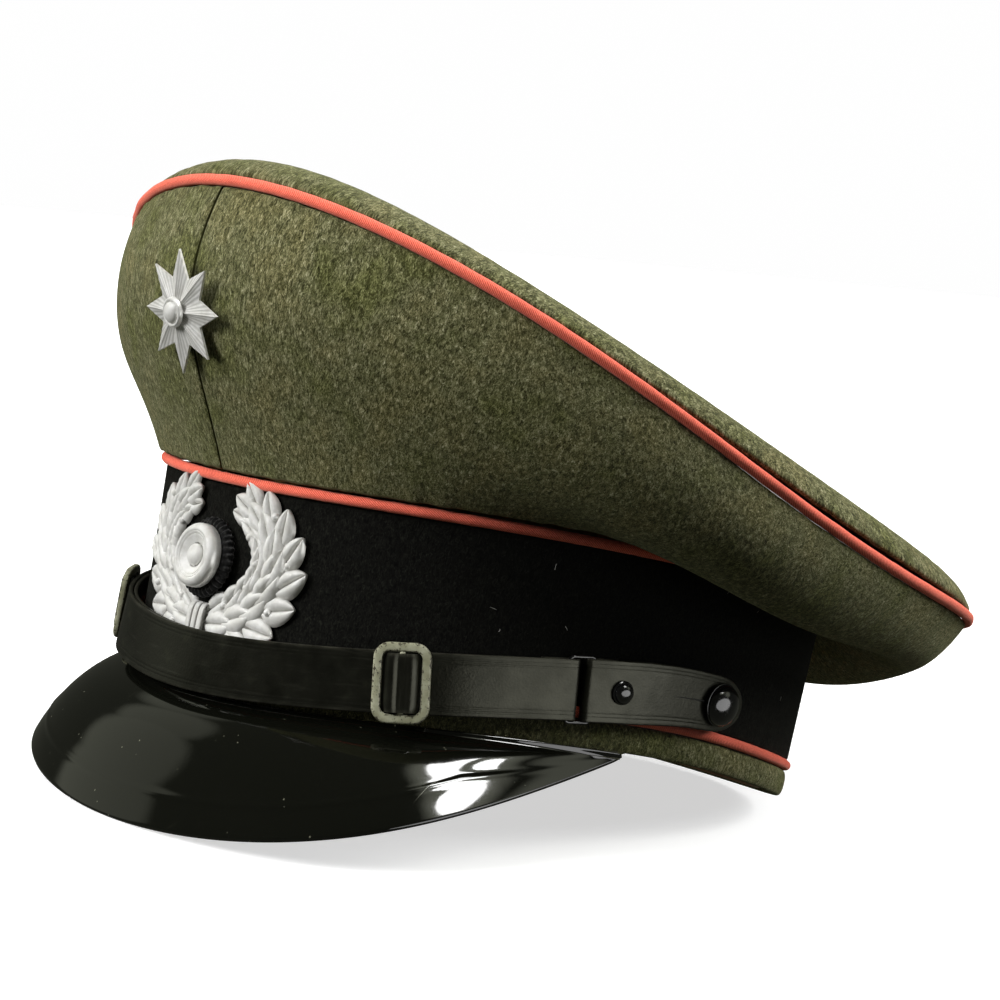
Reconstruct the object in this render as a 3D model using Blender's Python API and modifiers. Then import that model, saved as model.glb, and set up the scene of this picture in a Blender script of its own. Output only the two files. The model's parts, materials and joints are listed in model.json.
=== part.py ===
"""Military peaked cap with a leather chin strap, modelled for Blender 4.5.

The cap is drawn in its own band frame and then pitched to the pose in which it rests on a table.
Band frame: the origin is the centre of the head opening, -Y is the front, +X the wearer's left
and +Z the top. Angles run from the front (0) towards the wearer's left.
"""

import math

import bmesh
import bpy
from mathutils import Matrix, Vector

MM = 0.001

# Band, measured on the outer face of the black cloth
BAND_HALF_LENGTH = 102.0 * MM
BAND_HALF_WIDTH = 87.6 * MM
BAND_FULLNESS = 0.047
BAND_LEAN = 4.5 * MM
LOWER_PIPING_HEIGHT = 9.4 * MM
UPPER_PIPING_HEIGHT = 55.2 * MM
RIM_DROP_FRONT = 11.5 * MM
TOP_DROP_FRONT = 7.0 * MM
RIM_DROP_REAR = 7.8 * MM
CLOTH = 1.9 * MM
PIPING_RADIUS = 1.5 * MM
SEAM_GAP = 0.35 * MM
SEAM_HALF = PIPING_RADIUS + SEAM_GAP
STIFFENER_GROWTH = -2.3 * MM
STIFFENER_THICKNESS = 1.3 * MM
SWEATBAND_GROWTH = -5.6 * MM
SWEATBAND_THICKNESS = 1.2 * MM
SWEATBAND_HEIGHT = 41.0 * MM

# Crown, measured on the piping round its edge. The piping's height is CROWN_HEIGHT and these
# waves, which turn once, twice, three and four times round the cap.
CROWN_HALF_LENGTH = 138.3 * MM
CROWN_HALF_WIDTH = 123.2 * MM
CROWN_FULLNESS = 0.027
CROWN_SET_BACK = 12.3 * MM
CROWN_HEIGHT = 82.2 * MM
CROWN_WAVES = (36.1 * MM, 9.1 * MM, 0.7 * MM, -1.2 * MM)
CROWN_CENTRE_RISE = 9.4 * MM
CROWN_PIPING_RADIUS = 1.6 * MM
# Lengths, and slopes in degrees, at the five stations: front, quarter, side, quarter and rear
STATIONS = (0.0, 45.0, 90.0, 135.0, 180.0)
ROLL_INSET = (12.5 * MM, 14.6 * MM, 15.9 * MM, 14.1 * MM, 15.2 * MM)
ROLL_RISE = (8.3 * MM, 7.9 * MM, 14.2 * MM, 10.0 * MM, 10.4 * MM)
SIDE_FOOT_GROWTH = (3.2 * MM, 3.3 * MM, 4.4 * MM, 4.4 * MM, 4.4 * MM)
SIDE_START_LENGTH = (33.4 * MM, 27.9 * MM, 36.2 * MM, 36.1 * MM, 42.5 * MM)
SIDE_START_SLOPE = (61.4, 45.8, -48.0, -37.7, -47.9)
SIDE_BULGE = (11.1 * MM, 3.7 * MM, 2.7 * MM, -3.9 * MM, -3.9 * MM)
SIDE_END_LENGTH = (36.4 * MM, 25.3 * MM, 8.8 * MM, 10.7 * MM, 33.0 * MM)

# Peak (visor)
PEAK_CORNER_ANGLE = 82.6
PEAK_LENGTH = 114.0 * MM
PEAK_SLOPE = 24.9
PEAK_FULLNESS = 60.7 * MM
PEAK_BULGE = 6.4 * MM
PEAK_EDGE_LIFT = 3.3 * MM
PEAK_ROUNDING = 1.14
PEAK_THICKNESS = 1.6 * MM
PEAK_TUCK = 2.2 * MM
PEAK_TRIM = 0.985

# Chin strap
STRAP_WIDTH = 16.8 * MM
STRAP_THICKNESS = 1.2 * MM
STRAP_FRONT_HEIGHT = 8.9 * MM
STRAP_CLIMB = 10.1 * MM
STRAP_CLIMB_SOFTNESS = 0.12
STRAP_INNER_OUT = 2.1 * MM
STRAP_FRONT_BULGE = 2.3 * MM
STRAP_SIDE_BULGE = 1.2 * MM
LAYER_STEP = 1.5 * MM
BUTTON_ANGLE = 97.5
STUD_ANGLE = 77.7
TAB_START_ANGLE = 72.2
TAB_END_ANGLE = 103.4
TAB_WIDTH = 17.4 * MM
LOOP_ANGLE = 71.1
LOOP_WIDTH = 6.6 * MM
LOOP_HEIGHT = 19.0 * MM
LOOP_WIRE = 0.55 * MM
STRAP_END_ANGLE = 70.4
BUCKLE_ANGLES = {"left": 44.0, "right": -44.0}
BUCKLE_WIDTH = 15.6 * MM
BUCKLE_HEIGHT = 21.6 * MM
BUCKLE_RIM = 2.5 * MM
BUCKLE_BAR = 1.6 * MM
BUCKLE_THICKNESS = 1.9 * MM
BUCKLE_GAP = 0.8 * MM
BUCKLE_CORNER = 4.2 * MM
BUCKLE_WINDOW_CORNER = 1.2 * MM
OVERLAP_END = 3.0
BUCKLE_TRAVEL_REACH = 18.0
BUCKLE_LAYER = 1

# Buttons, badges and their fixings
BUTTON_RADIUS = 6.25 * MM
STUD_RADIUS = 3.5 * MM
SHANK_RADIUS = 1.2 * MM
HOLE_RADIUS = 1.6 * MM
WASHER_RADIUS = 4.5 * MM
ROSETTE_HEIGHT = 34.6 * MM
ROSETTE_BACK_RADIUS = 11.4 * MM
ROSETTE_RADIUS = 9.0 * MM
ROSETTE_DOME_RADIUS = 3.1 * MM
WREATH_HALF_WIDTH = 26.0 * MM
WREATH_BAND = 19.0 * MM
WREATH_SWEEP = 146.0
WREATH_THICKNESS = 2.6 * MM
WREATH_PRONG_REACH = 24.0 * MM
STAR_RADIUS = 17.0 * MM
STAR_INNER_RADIUS = 9.5 * MM
STAR_HEIGHT = 3.2 * MM
STAR_POINTS = 8
STAR_PLACE = 0.56
STAR_STAND_OFF = 2.2 * MM
STAR_PRONG_REACH = 8.0 * MM

ROSETTE_FACE = 3.5 * MM
ROSETTE_BACK = 1.1 * MM
PIN_RADIUS = 0.45 * MM
PIN_HOLE_RADIUS = 0.9 * MM
PIN_REACH = 3.2 * MM
WREATH_HALF_HEIGHT = 16.8 * MM
BADGE_STAND_OFF = 0.6 * MM
BOSS_RADIUS = 4.2 * MM
BOSS_RISE = 1.6 * MM

# Crown fittings
SIDE_SEAM_ANGLE = 0.004
HOOP_INSET = 6.0 * MM
HOOP_RADIUS = 1.0 * MM
STAY_HALF_ANGLE = 6.0
STAY_DEPTH = 4.5 * MM
STAY_THICKNESS = 1.0 * MM

# Lining
LINING_SWELL = 4.0 * MM
LINING_THICKNESS = 0.9 * MM
LINING_FOOT_HEIGHT = 43.5 * MM
LINING_FOOT_GROWTH = -5.0 * MM
LINING_TILT = 12.0
LINING_TOP_CENTRE = Vector((0.0, 11.0 * MM, 79.0 * MM))
LINING_TOP_HALF_LENGTH = 74.0 * MM
LINING_TOP_HALF_WIDTH = 62.0 * MM
SHIELD_HALF_LENGTH = 62.0 * MM
SHIELD_HALF_WIDTH = 50.0 * MM
SHIELD_THICKNESS = 0.6 * MM

RING_STEPS = 44
FIRST_PITCH = 9.5
PITCH_ROUNDS = 3
MERGE = 0.00001

COLOURS = {
    "field_grey_cloth": ((0.10, 0.10, 0.065), 0.95, 0.0),
    "black_cloth": ((0.006, 0.006, 0.007), 0.95, 0.0),
    "coral_cord": ((0.62, 0.10, 0.07), 0.85, 0.0),
    "black_lacquer": ((0.004, 0.004, 0.005), 0.12, 0.0),
    "black_leather": ((0.010, 0.009, 0.009), 0.42, 0.0),
    "tan_leather": ((0.20, 0.10, 0.045), 0.5, 0.0),
    "grey_paint": ((0.16, 0.16, 0.125), 0.4, 0.6),
    "black_paint": ((0.005, 0.005, 0.006), 0.15, 0.2),
    "silver_metal": ((0.75, 0.74, 0.71), 0.32, 1.0),
    "steel": ((0.5, 0.5, 0.5), 0.35, 1.0),
    "fibre": ((0.16, 0.10, 0.06), 0.8, 0.0),
    "satin_lining": ((0.30, 0.17, 0.07), 0.45, 0.0),
    "clear_sheet": ((0.75, 0.72, 0.6), 0.1, 0.0),
    "dark_ribbed_cloth": ((0.008, 0.008, 0.009), 0.8, 0.0),
}


# ---------------------------------------------------------------- geometry of the cap

def around(values, angle):
    """A value given at the five stations, blended smoothly round the cap."""
    place = math.cos(angle)
    stations = [math.cos(math.radians(station)) for station in STATIONS]
    total = 0.0
    for value, here in zip(values, stations):
        weight = 1.0
        for other in stations:
            if other != here:
                weight *= (place - other) / (here - other)
        total += value * weight
    return total


def rim_drop(angle, height):
    """The band's edges dip at the front and the rear, the upper edge less at the front."""
    span = UPPER_PIPING_HEIGHT - LOWER_PIPING_HEIGHT
    share = min(max((height - LOWER_PIPING_HEIGHT) / span, 0.0), 1.0)
    front = RIM_DROP_FRONT * (1 - share) + TOP_DROP_FRONT * share
    cosine = math.cos(angle)
    if cosine > 0:
        return front * cosine ** 2
    return RIM_DROP_REAR * (1 - math.sin(angle) ** 4)


def front_lean(angle, height):
    """How far the front of the band is set back below its upper edge."""
    if math.cos(angle) < 0:
        return 0.0
    share = min(max(height / UPPER_PIPING_HEIGHT, 0.0), 1.0)
    return BAND_LEAN * (1 - share) * (1 - math.sin(angle) ** 4)


def fuller(angle, fullness):
    """How much an oval stands out from a plain ellipse, between its front, sides and rear."""
    return 1 + fullness * math.sin(2 * angle) ** 2


def band_point(angle, height, growth=0.0):
    out = fuller(angle, BAND_FULLNESS)
    grown = growth - front_lean(angle, height)
    return Vector((
        (BAND_HALF_WIDTH + grown) * math.sin(angle) * out,
        -(BAND_HALF_LENGTH + grown) * math.cos(angle) * out,
        height - rim_drop(angle, height),
    ))


def oval_normal(angle, half_length, half_width, fullness):
    out = fuller(angle, fullness)
    change = 2 * fullness * math.sin(4 * angle)
    sine, cosine = math.sin(angle), math.cos(angle)
    return Vector((
        half_length * (sine * out - cosine * change),
        -half_width * (cosine * out + sine * change),
        0.0,
    )).normalized()


def band_normal(angle):
    return oval_normal(angle, BAND_HALF_LENGTH, BAND_HALF_WIDTH, BAND_FULLNESS)


def on_band(across, height, out):
    """A point on the front of the band, by its distance round the band from the centre."""
    angle = across / BAND_HALF_WIDTH
    return band_point(angle, height) + band_normal(angle) * out


def crown_point(angle):
    out = fuller(angle, CROWN_FULLNESS)
    waves = sum(size * math.cos(turns * angle) for turns, size in enumerate(CROWN_WAVES, 1))
    return Vector((
        CROWN_HALF_WIDTH * math.sin(angle) * out,
        CROWN_SET_BACK - CROWN_HALF_LENGTH * math.cos(angle) * out,
        CROWN_HEIGHT + waves,
    ))


def crown_normal(angle):
    return oval_normal(angle, CROWN_HALF_LENGTH, CROWN_HALF_WIDTH, CROWN_FULLNESS)


def side_point(angle, share):
    """The outer face of the crown's side, from the band (0) to the crown piping (1)."""
    foot = band_point(angle, UPPER_PIPING_HEIGHT + SEAM_HALF, around(SIDE_FOOT_GROWTH, angle))
    head = crown_point(angle)
    slope = math.radians(around(SIDE_START_SLOPE, angle))
    reach = around(SIDE_START_LENGTH, angle)
    leave = foot + band_normal(angle) * reach * math.cos(slope)
    leave.z += reach * math.sin(slope)
    arrive = head + crown_normal(angle) * around(SIDE_BULGE, angle)
    arrive.z -= around(SIDE_END_LENGTH, angle)
    rest = 1 - share
    return (foot * rest ** 3 + leave * 3 * rest ** 2 * share
            + arrive * 3 * rest * share ** 2 + head * share ** 3)


def side_end_share(angle):
    """Where the side panel stops, so that the crown piping fits above it."""
    head = crown_point(angle)
    share = 1.0
    step = 0.002
    while (side_point(angle, share) - head).length < CROWN_PIPING_RADIUS + SEAM_GAP:
        share -= step
    return share


def roll_point(angle, turn):
    """The rolled edge of the top panel, from the piping (0) to the flat (pi / 2)."""
    inset = around(ROLL_INSET, angle) * (1 - math.cos(turn))
    point = crown_point(angle) - crown_normal(angle) * inset
    point.z += around(ROLL_RISE, angle) * math.sin(turn)
    return point


def panel_point(angle, radius):
    """The saddle-shaped top panel, from its centre (0) to the rolled edge (1)."""
    edge = roll_point(angle, math.pi / 2)
    height = CROWN_HEIGHT + CROWN_CENTRE_RISE
    height += (around(ROLL_RISE, angle) - CROWN_CENTRE_RISE) * radius ** 2
    for turns, size in enumerate(CROWN_WAVES, 1):
        height += size * radius ** turns * math.cos(turns * angle)
    return Vector((edge.x * radius, CROWN_SET_BACK + (edge.y - CROWN_SET_BACK) * radius, height))


def peak_point(share_across, share_out):
    """The top face of the peak: across from -1 to 1, out from the band (0) to the edge (1)."""
    corner = math.radians(PEAK_CORNER_ANGLE)
    inner = band_point(share_across * corner, -SEAM_GAP, 1.0 * MM)
    end = band_point(corner, -SEAM_GAP, 1.0 * MM)
    turn = share_across * math.pi / 2
    reach = PEAK_LENGTH * max(math.cos(turn), 0.0) ** PEAK_ROUNDING
    slope = math.radians(PEAK_SLOPE)
    outer = Vector((
        (end.x + PEAK_FULLNESS * math.cos(turn) ** 2) * math.sin(turn),
        end.y - reach * math.cos(slope),
        end.z - reach * math.sin(slope) + PEAK_EDGE_LIFT * math.sin(2 * turn) ** 2,
    ))
    crown = PEAK_BULGE * math.cos(turn) ** 2 * 4 * share_out * (1 - share_out)
    raised = Vector((0.5 * math.sin(share_across * corner), -0.5 * math.cos(turn), 0.85))
    return inner.lerp(outer, share_out) + raised * crown


def strap_height(angle):
    """The strap climbs from the front to the sides and runs level behind them."""
    cosine = math.cos(angle)
    ahead = (cosine + math.hypot(cosine, STRAP_CLIMB_SOFTNESS)) / 2
    return STRAP_FRONT_HEIGHT + STRAP_CLIMB * (1 - ahead)


def strap_out(angle, layer):
    """How far the strap's back face stands off the band: more over the wreath and the loops."""
    front = STRAP_FRONT_BULGE * max(math.cos(angle), 0.0) ** 6
    side = STRAP_SIDE_BULGE * math.sin(angle) ** 4
    return STRAP_INNER_OUT + front + side + LAYER_STEP * layer


def strap_point(angle, layer, out=0.0, across=0.0):
    point = band_point(angle, strap_height(angle))
    point += band_normal(angle) * (strap_out(angle, layer) + out)
    if across:
        point += strap_frame(angle, layer, out).col[1].xyz * across
    return point


def strap_frame(angle, layer, out):
    """A matrix on the strap: X along it, Z outwards."""
    step = math.radians(1.0)
    along = strap_point(angle + step, layer) - strap_point(angle - step, layer)
    along.normalize()
    outward = band_normal(angle)
    across = outward.cross(along).normalized()
    outward = along.cross(across)
    basis = Matrix((along, across, outward)).transposed().to_4x4()
    return Matrix.Translation(strap_point(angle, layer, out)) @ basis


def circle_through(first, second, third):
    """Centre, axis and radius of the circle through three points."""
    a = first - third
    b = second - third
    normal = a.cross(b)
    offset = (b * a.length_squared - a * b.length_squared).cross(normal)
    centre = third + offset / (2 * normal.length_squared)
    return centre, normal.normalized(), (first - centre).length


def buckle_travel(side):
    """The arc along which a buckle slides: the strap's own curve, seen as a circle."""
    middle = math.radians(BUCKLE_ANGLES[side])
    reach = math.copysign(math.radians(BUCKLE_TRAVEL_REACH), middle)
    points = [strap_point(middle + reach * share, BUCKLE_LAYER) for share in (-0.6, 0.2, 1.0)]
    return circle_through(*points)


# ---------------------------------------------------------------- Blender helpers

def clear_scene():
    for item in list(bpy.data.objects):
        bpy.data.objects.remove(item, do_unlink=True)


def make_collection(name):
    collection = bpy.data.collections.new(name)
    bpy.context.scene.collection.children.link(collection)
    return collection


def make_material(name):
    colour, roughness, metallic = COLOURS[name]
    material = bpy.data.materials.new(name)
    material.use_nodes = True
    shader = material.node_tree.nodes["Principled BSDF"]
    shader.inputs["Base Color"].default_value = (*colour, 1.0)
    shader.inputs["Roughness"].default_value = roughness
    shader.inputs["Metallic"].default_value = metallic
    return material


class Bench:
    """Holds the collections, the materials and the empties that pieces are parented to."""

    def __init__(self):
        clear_scene()
        self.parts = make_collection("peaked_cap")
        self.cutters = make_collection("cutters")
        self.materials = {name: make_material(name) for name in COLOURS}
        self.places = {}
        self.rest = self.empty("cap_rest", Vector())

    def empty(self, name, place, parent=None):
        """An empty at a place in the band frame, on which pieces and other empties hang."""
        item = bpy.data.objects.new(name, None)
        item.empty_display_size = 10 * MM
        item.parent = parent
        item.location = place - self.places.get(parent, Vector())
        self.places[item] = place
        self.parts.objects.link(item)
        return item

    def add(self, name, data, finish, parent=None, matrix=None):
        """Hangs a piece on an empty; its matrix, if it has one, is in the band frame."""
        item = bpy.data.objects.new(name, data)
        item.parent = parent or self.rest
        home = Matrix.Translation(-self.places[item.parent])
        item.matrix_basis = home @ (matrix or Matrix())
        data.materials.append(self.materials[finish])
        self.parts.objects.link(item)
        return item


def mesh_from(name, points, faces):
    mesh = bpy.data.meshes.new(name)
    mesh.from_pydata(points, [], faces)
    mesh.shade_smooth()
    mesh.set_sharp_from_angle(angle=math.radians(35))
    return mesh


def grid_mesh(name, rows, closed=False, flip=False, apex=None):
    """A sheet through rows of points; apex closes the last row with a fan."""
    columns = len(rows[0])
    points = [point for row in rows for point in row]
    faces = []
    last = columns if closed else columns - 1
    for i in range(len(rows) - 1):
        for j in range(last):
            k = (j + 1) % columns
            faces.append((i * columns + j, i * columns + k,
                          (i + 1) * columns + k, (i + 1) * columns + j))
    if apex is not None:
        top = (len(rows) - 1) * columns
        points.append(apex)
        faces += [(top + j, top + (j + 1) % columns, len(points) - 1) for j in range(last)]
    if flip:
        faces = [tuple(reversed(face)) for face in faces]
    return mesh_from(name, points, faces)


def tube_mesh(name, sections):
    """A closed body through rings of points, with flat ends."""
    count = len(sections[0])
    faces = [tuple(range(count))]
    for i in range(len(sections) - 1):
        for j in range(count):
            k = (j + 1) % count
            faces.append((i * count + j, i * count + k, (i + 1) * count + k, (i + 1) * count + j))
    start = (len(sections) - 1) * count
    faces.append(tuple(start + j for j in reversed(range(count))))
    mesh = mesh_from(name, [point for section in sections for point in section], faces)
    tidy = bmesh.new()
    tidy.from_mesh(mesh)
    bmesh.ops.recalc_face_normals(tidy, faces=tidy.faces)
    tidy.to_mesh(mesh)
    tidy.free()
    return mesh


def thicken(item, thickness):
    """Gives a sheet its thickness on the inner side of its faces."""
    shell = item.modifiers.new("thickness", "SOLIDIFY")
    shell.thickness = thickness
    shell.offset = -1.0
    shell.use_even_offset = True
    return item


def wire_curve(name, points, radius, resolution=2):
    curve = bpy.data.curves.new(name, "CURVE")
    curve.dimensions = "3D"
    curve.bevel_depth = radius
    curve.bevel_resolution = resolution
    curve.use_fill_caps = True
    spline = curve.splines.new("POLY")
    spline.points.add(len(points) - 1)
    for spot, point in zip(spline.points, points):
        spot.co = (*point, 1.0)
    spline.use_cyclic_u = True
    return curve


def plate_curve(name, outlines, thickness):
    """A flat plate in XY, with its holes as further outlines."""
    curve = bpy.data.curves.new(name, "CURVE")
    curve.dimensions = "2D"
    curve.fill_mode = "BOTH"
    curve.extrude = thickness / 2
    for outline in outlines:
        spline = curve.splines.new("POLY")
        spline.points.add(len(outline) - 1)
        for spot, (x, y) in zip(spline.points, outline):
            spot.co = (x, y, 0.0, 1.0)
        spline.use_cyclic_u = True
    return curve


def turned_piece(bench, name, profile, finish, parent, matrix, steps=20):
    """A turned body about local Z; the profile runs from the top on the axis to the bottom."""
    mesh = bpy.data.meshes.new(name)
    points = [(radius, 0.0, height) for radius, height in profile]
    mesh.from_pydata(points, [(i, i + 1) for i in range(len(points) - 1)], [])
    item = bench.add(name, mesh, finish, parent, matrix)
    screw = item.modifiers.new("turn", "SCREW")
    screw.steps = steps
    screw.render_steps = steps
    screw.use_merge_vertices = True
    screw.merge_threshold = MERGE
    screw.use_smooth_shade = True
    return item


def drill(bench, target, place, direction, radius, reach=14 * MM):
    """Cuts a round hole through a piece of the band or the crown."""
    bpy.ops.mesh.primitive_cylinder_add(vertices=12, radius=radius, depth=2 * reach)
    cutter = bpy.context.object
    cutter.name = "hole_" + target.name
    for collection in list(cutter.users_collection):
        collection.objects.unlink(cutter)
    bench.cutters.objects.link(cutter)
    cutter.parent = bench.rest
    cutter.matrix_basis = facing(place, direction)
    cutter.hide_render = True
    cutter.display_type = "WIRE"
    cut = target.modifiers.new("hole", "BOOLEAN")
    cut.operation = "DIFFERENCE"
    cut.object = cutter


def ring_angles(count=RING_STEPS):
    return [2 * math.pi * i / count for i in range(count)]


def spread(start, end, count):
    return [start + (end - start) * i / (count - 1) for i in range(count)]


def facing(place, direction):
    """A matrix at a place with its Z along a direction."""
    return (Matrix.Translation(place)
            @ direction.to_track_quat("Z", "Y").to_matrix().to_4x4())


# ---------------------------------------------------------------- band and trim

def band_strip(bench, name, low, high, growth, thickness, finish):
    heights = [low, high]
    rows = [[band_point(angle, height, growth) for angle in ring_angles()] for height in heights]
    item = bench.add(name, grid_mesh(name, rows, closed=True), finish)
    return thicken(item, thickness)


def band_piping(bench, name, height, growth):
    points = [band_point(angle, height, growth) for angle in ring_angles()]
    bench.add(name, wire_curve(name, points, PIPING_RADIUS), "coral_cord")


def make_band(bench):
    strips = {
        "lower_trim": band_strip(bench, "lower_trim", 0.0, LOWER_PIPING_HEIGHT - SEAM_HALF,
                                 0.0, CLOTH, "field_grey_cloth"),
        "cap_band": band_strip(bench, "cap_band", LOWER_PIPING_HEIGHT + SEAM_HALF,
                               UPPER_PIPING_HEIGHT - SEAM_HALF, 0.0, CLOTH, "black_cloth"),
        "band_stiffener": band_strip(bench, "band_stiffener", 2.5 * MM, 54.0 * MM,
                                     STIFFENER_GROWTH, STIFFENER_THICKNESS, "fibre"),
        "sweatband": band_strip(bench, "sweatband", 1.0 * MM, SWEATBAND_HEIGHT,
                                SWEATBAND_GROWTH, SWEATBAND_THICKNESS, "tan_leather"),
    }
    band_piping(bench, "band_piping_lower", LOWER_PIPING_HEIGHT, -0.2 * MM)
    band_piping(bench, "band_piping_upper", UPPER_PIPING_HEIGHT, 0.6 * MM)
    return strips


# ---------------------------------------------------------------- crown

def side_panel(bench, name, sign):
    angles = spread(SIDE_SEAM_ANGLE, math.pi - SIDE_SEAM_ANGLE, 23)
    if sign < 0:
        angles = [-angle for angle in reversed(angles)]
    shares = [0.0, 0.08, 0.17, 0.27, 0.4, 0.55, 0.7, 0.86, 1.0]
    rows = []
    for share in shares:
        rows.append([side_point(angle, share * side_end_share(angle)) for angle in angles])
    item = bench.add(name, grid_mesh(name, rows), "field_grey_cloth")
    return thicken(item, CLOTH)


def top_panel(bench):
    start = math.asin((CROWN_PIPING_RADIUS + SEAM_GAP) / min(ROLL_RISE))
    turns = spread(start, math.pi / 2, 5)
    rows = [[roll_point(angle, turn) for angle in ring_angles()] for turn in turns]
    for radius in (0.85, 0.65, 0.4, 0.2):
        rows.append([panel_point(angle, radius) for angle in ring_angles()])
    mesh = grid_mesh("crown_top_panel", rows, closed=True, apex=panel_point(0.0, 0.0))
    return thicken(bench.add("crown_top_panel", mesh, "field_grey_cloth"), CLOTH)


def crown_hoop(bench):
    points = [crown_point(angle) - crown_normal(angle) * HOOP_INSET for angle in ring_angles()]
    bench.add("crown_wire_hoop", wire_curve("crown_wire_hoop", points, HOOP_RADIUS, 1), "steel")


def front_stay(bench):
    """The springy strip that holds the front of the crown up, behind the cloth."""
    half_angle = math.radians(STAY_HALF_ANGLE)
    rows = []
    for share in spread(0.12, 0.86, 7):
        row = []
        for angle in spread(-half_angle, half_angle, 5):
            above = side_point(angle, share + 0.01) - side_point(angle, share - 0.01)
            inward = above.cross(Vector((math.cos(angle), math.sin(angle), 0.0))).normalized()
            row.append(side_point(angle, share) + inward * STAY_DEPTH)
        rows.append(row)
    item = bench.add("front_stay", grid_mesh("front_stay", rows), "fibre")
    return thicken(item, STAY_THICKNESS)


def make_crown(bench):
    panels = {
        "left": side_panel(bench, "crown_side_left", 1),
        "right": side_panel(bench, "crown_side_right", -1),
    }
    top_panel(bench)
    points = [crown_point(angle) for angle in ring_angles()]
    bench.add("crown_piping", wire_curve("crown_piping", points, CROWN_PIPING_RADIUS), "coral_cord")
    crown_hoop(bench)
    front_stay(bench)
    return panels


# ---------------------------------------------------------------- lining

def lining_tilt():
    return Matrix.Rotation(math.radians(-LINING_TILT), 4, "X")


def lining_disc_point(angle, radius):
    flat = Vector((
        LINING_TOP_HALF_WIDTH * radius * math.sin(angle),
        -LINING_TOP_HALF_LENGTH * radius * math.cos(angle),
        0.0,
    ))
    return LINING_TOP_CENTRE + lining_tilt() @ flat


def make_lining(bench):
    rows = []
    angles = ring_angles(40)
    for share in (0.0, 0.35, 0.75, 1.0):
        row = []
        for angle in angles:
            foot = band_point(angle, LINING_FOOT_HEIGHT, LINING_FOOT_GROWTH)
            edge = lining_disc_point(angle, 1.0)
            swell = LINING_SWELL * math.sin(math.pi * share)
            row.append(foot.lerp(edge, share) + Vector((0, 0, swell)))
        rows.append(row)
    rows.append([lining_disc_point(angle, 0.5) for angle in angles])
    mesh = grid_mesh("crown_lining", rows, closed=True, apex=LINING_TOP_CENTRE.copy())
    thicken(bench.add("crown_lining", mesh, "satin_lining"), LINING_THICKNESS)


def shield_matrix():
    drop = LINING_THICKNESS + SEAM_GAP + SHIELD_THICKNESS / 2
    return (Matrix.Translation(LINING_TOP_CENTRE) @ lining_tilt()
            @ Matrix.Translation((0, 0, -drop)))


def make_sweat_shield(bench):
    outline = [(SHIELD_HALF_WIDTH * math.sin(angle), SHIELD_HALF_LENGTH * math.cos(angle))
               for angle in ring_angles(36)]
    curve = plate_curve("sweat_shield", [outline], SHIELD_THICKNESS)
    bench.add("sweat_shield", curve, "clear_sheet", None, shield_matrix())


# ---------------------------------------------------------------- peak

def make_peak(bench):
    columns = spread(-PEAK_TRIM, PEAK_TRIM, 25)
    rows = []
    tuck = []
    for across in columns:
        angle = across * math.radians(PEAK_CORNER_ANGLE)
        tuck.append(band_point(angle, -SEAM_GAP, -PEAK_TUCK))
    rows.append(tuck)
    for out in (0.0, 0.2, 0.42, 0.65, 0.85, 1.0):
        rows.append([peak_point(across, out) for across in columns])
    item = bench.add("visor_shell", grid_mesh("visor_shell", rows, flip=True), "black_lacquer")
    return thicken(item, PEAK_THICKNESS)


# ---------------------------------------------------------------- chin strap

def strap_layer(bench, name, layer, first, last, parent):
    angles = [math.radians(angle) for angle in spread(first, last, 26)]
    half = STRAP_WIDTH / 2
    rows = [[strap_point(angle, layer, STRAP_THICKNESS, edge) for angle in angles]
            for edge in (-half, half)]
    item = bench.add(name, grid_mesh(name, rows), "black_leather", parent)
    return thicken(item, STRAP_THICKNESS)


def tab_half_width(share):
    """Full width at the loop, tapered to a round nose at the rear."""
    nose = 0.8
    taper = 1.0 - 0.18 * max(share - 0.3, 0.0)
    if share > nose:
        taper *= math.sqrt(max(1.0 - ((share - nose) / (1.0 - nose)) ** 2, 0.0)) * 0.8 + 0.2
    return TAB_WIDTH / 2 * taper


def end_tab(bench, side, sign, layer, parent):
    shares = spread(0.0, 0.8, 9) + [0.85, 0.9, 0.94, 0.97, 0.99, 1.0]
    rows = [[], []]
    for share in shares:
        angle = math.radians(TAB_START_ANGLE + (TAB_END_ANGLE - TAB_START_ANGLE) * share) * sign
        for row, edge in zip(rows, (-1, 1)):
            row.append(strap_point(angle, layer, STRAP_THICKNESS, edge * tab_half_width(share)))
    name = "end_tab_" + side
    item = bench.add(name, grid_mesh(name, rows, flip=sign < 0), "black_leather", parent)
    return thicken(item, STRAP_THICKNESS)


def strap_loop(bench, side, sign, layer, parent):
    """The wire loop joining strap and tab; its uprights lie behind the leather."""
    matrix = strap_frame(math.radians(LOOP_ANGLE) * sign, layer, -LOOP_WIRE - 0.25 * MM)
    half_width = LOOP_WIDTH / 2 - LOOP_WIRE
    half_height = LOOP_HEIGHT / 2 - LOOP_WIRE
    outline = rounded_outline(half_width, half_height, 1.0 * MM, 3)
    points = [Vector((x, y, 0.0)) for x, y in outline]
    name = "strap_loop_" + side
    bench.add(name, wire_curve(name, points, LOOP_WIRE), "black_paint", parent, matrix)


def rounded_outline(half_width, half_height, corner, steps):
    outline = []
    quarter = math.pi / 2
    for index, (x_sign, y_sign) in enumerate(((1, 1), (-1, 1), (-1, -1), (1, -1))):
        centre_x = x_sign * (half_width - corner)
        centre_y = y_sign * (half_height - corner)
        for step in range(steps + 1):
            turn = quarter * (index + step / steps)
            outline.append((centre_x + corner * math.cos(turn), centre_y + corner * math.sin(turn)))
    return outline


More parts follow.
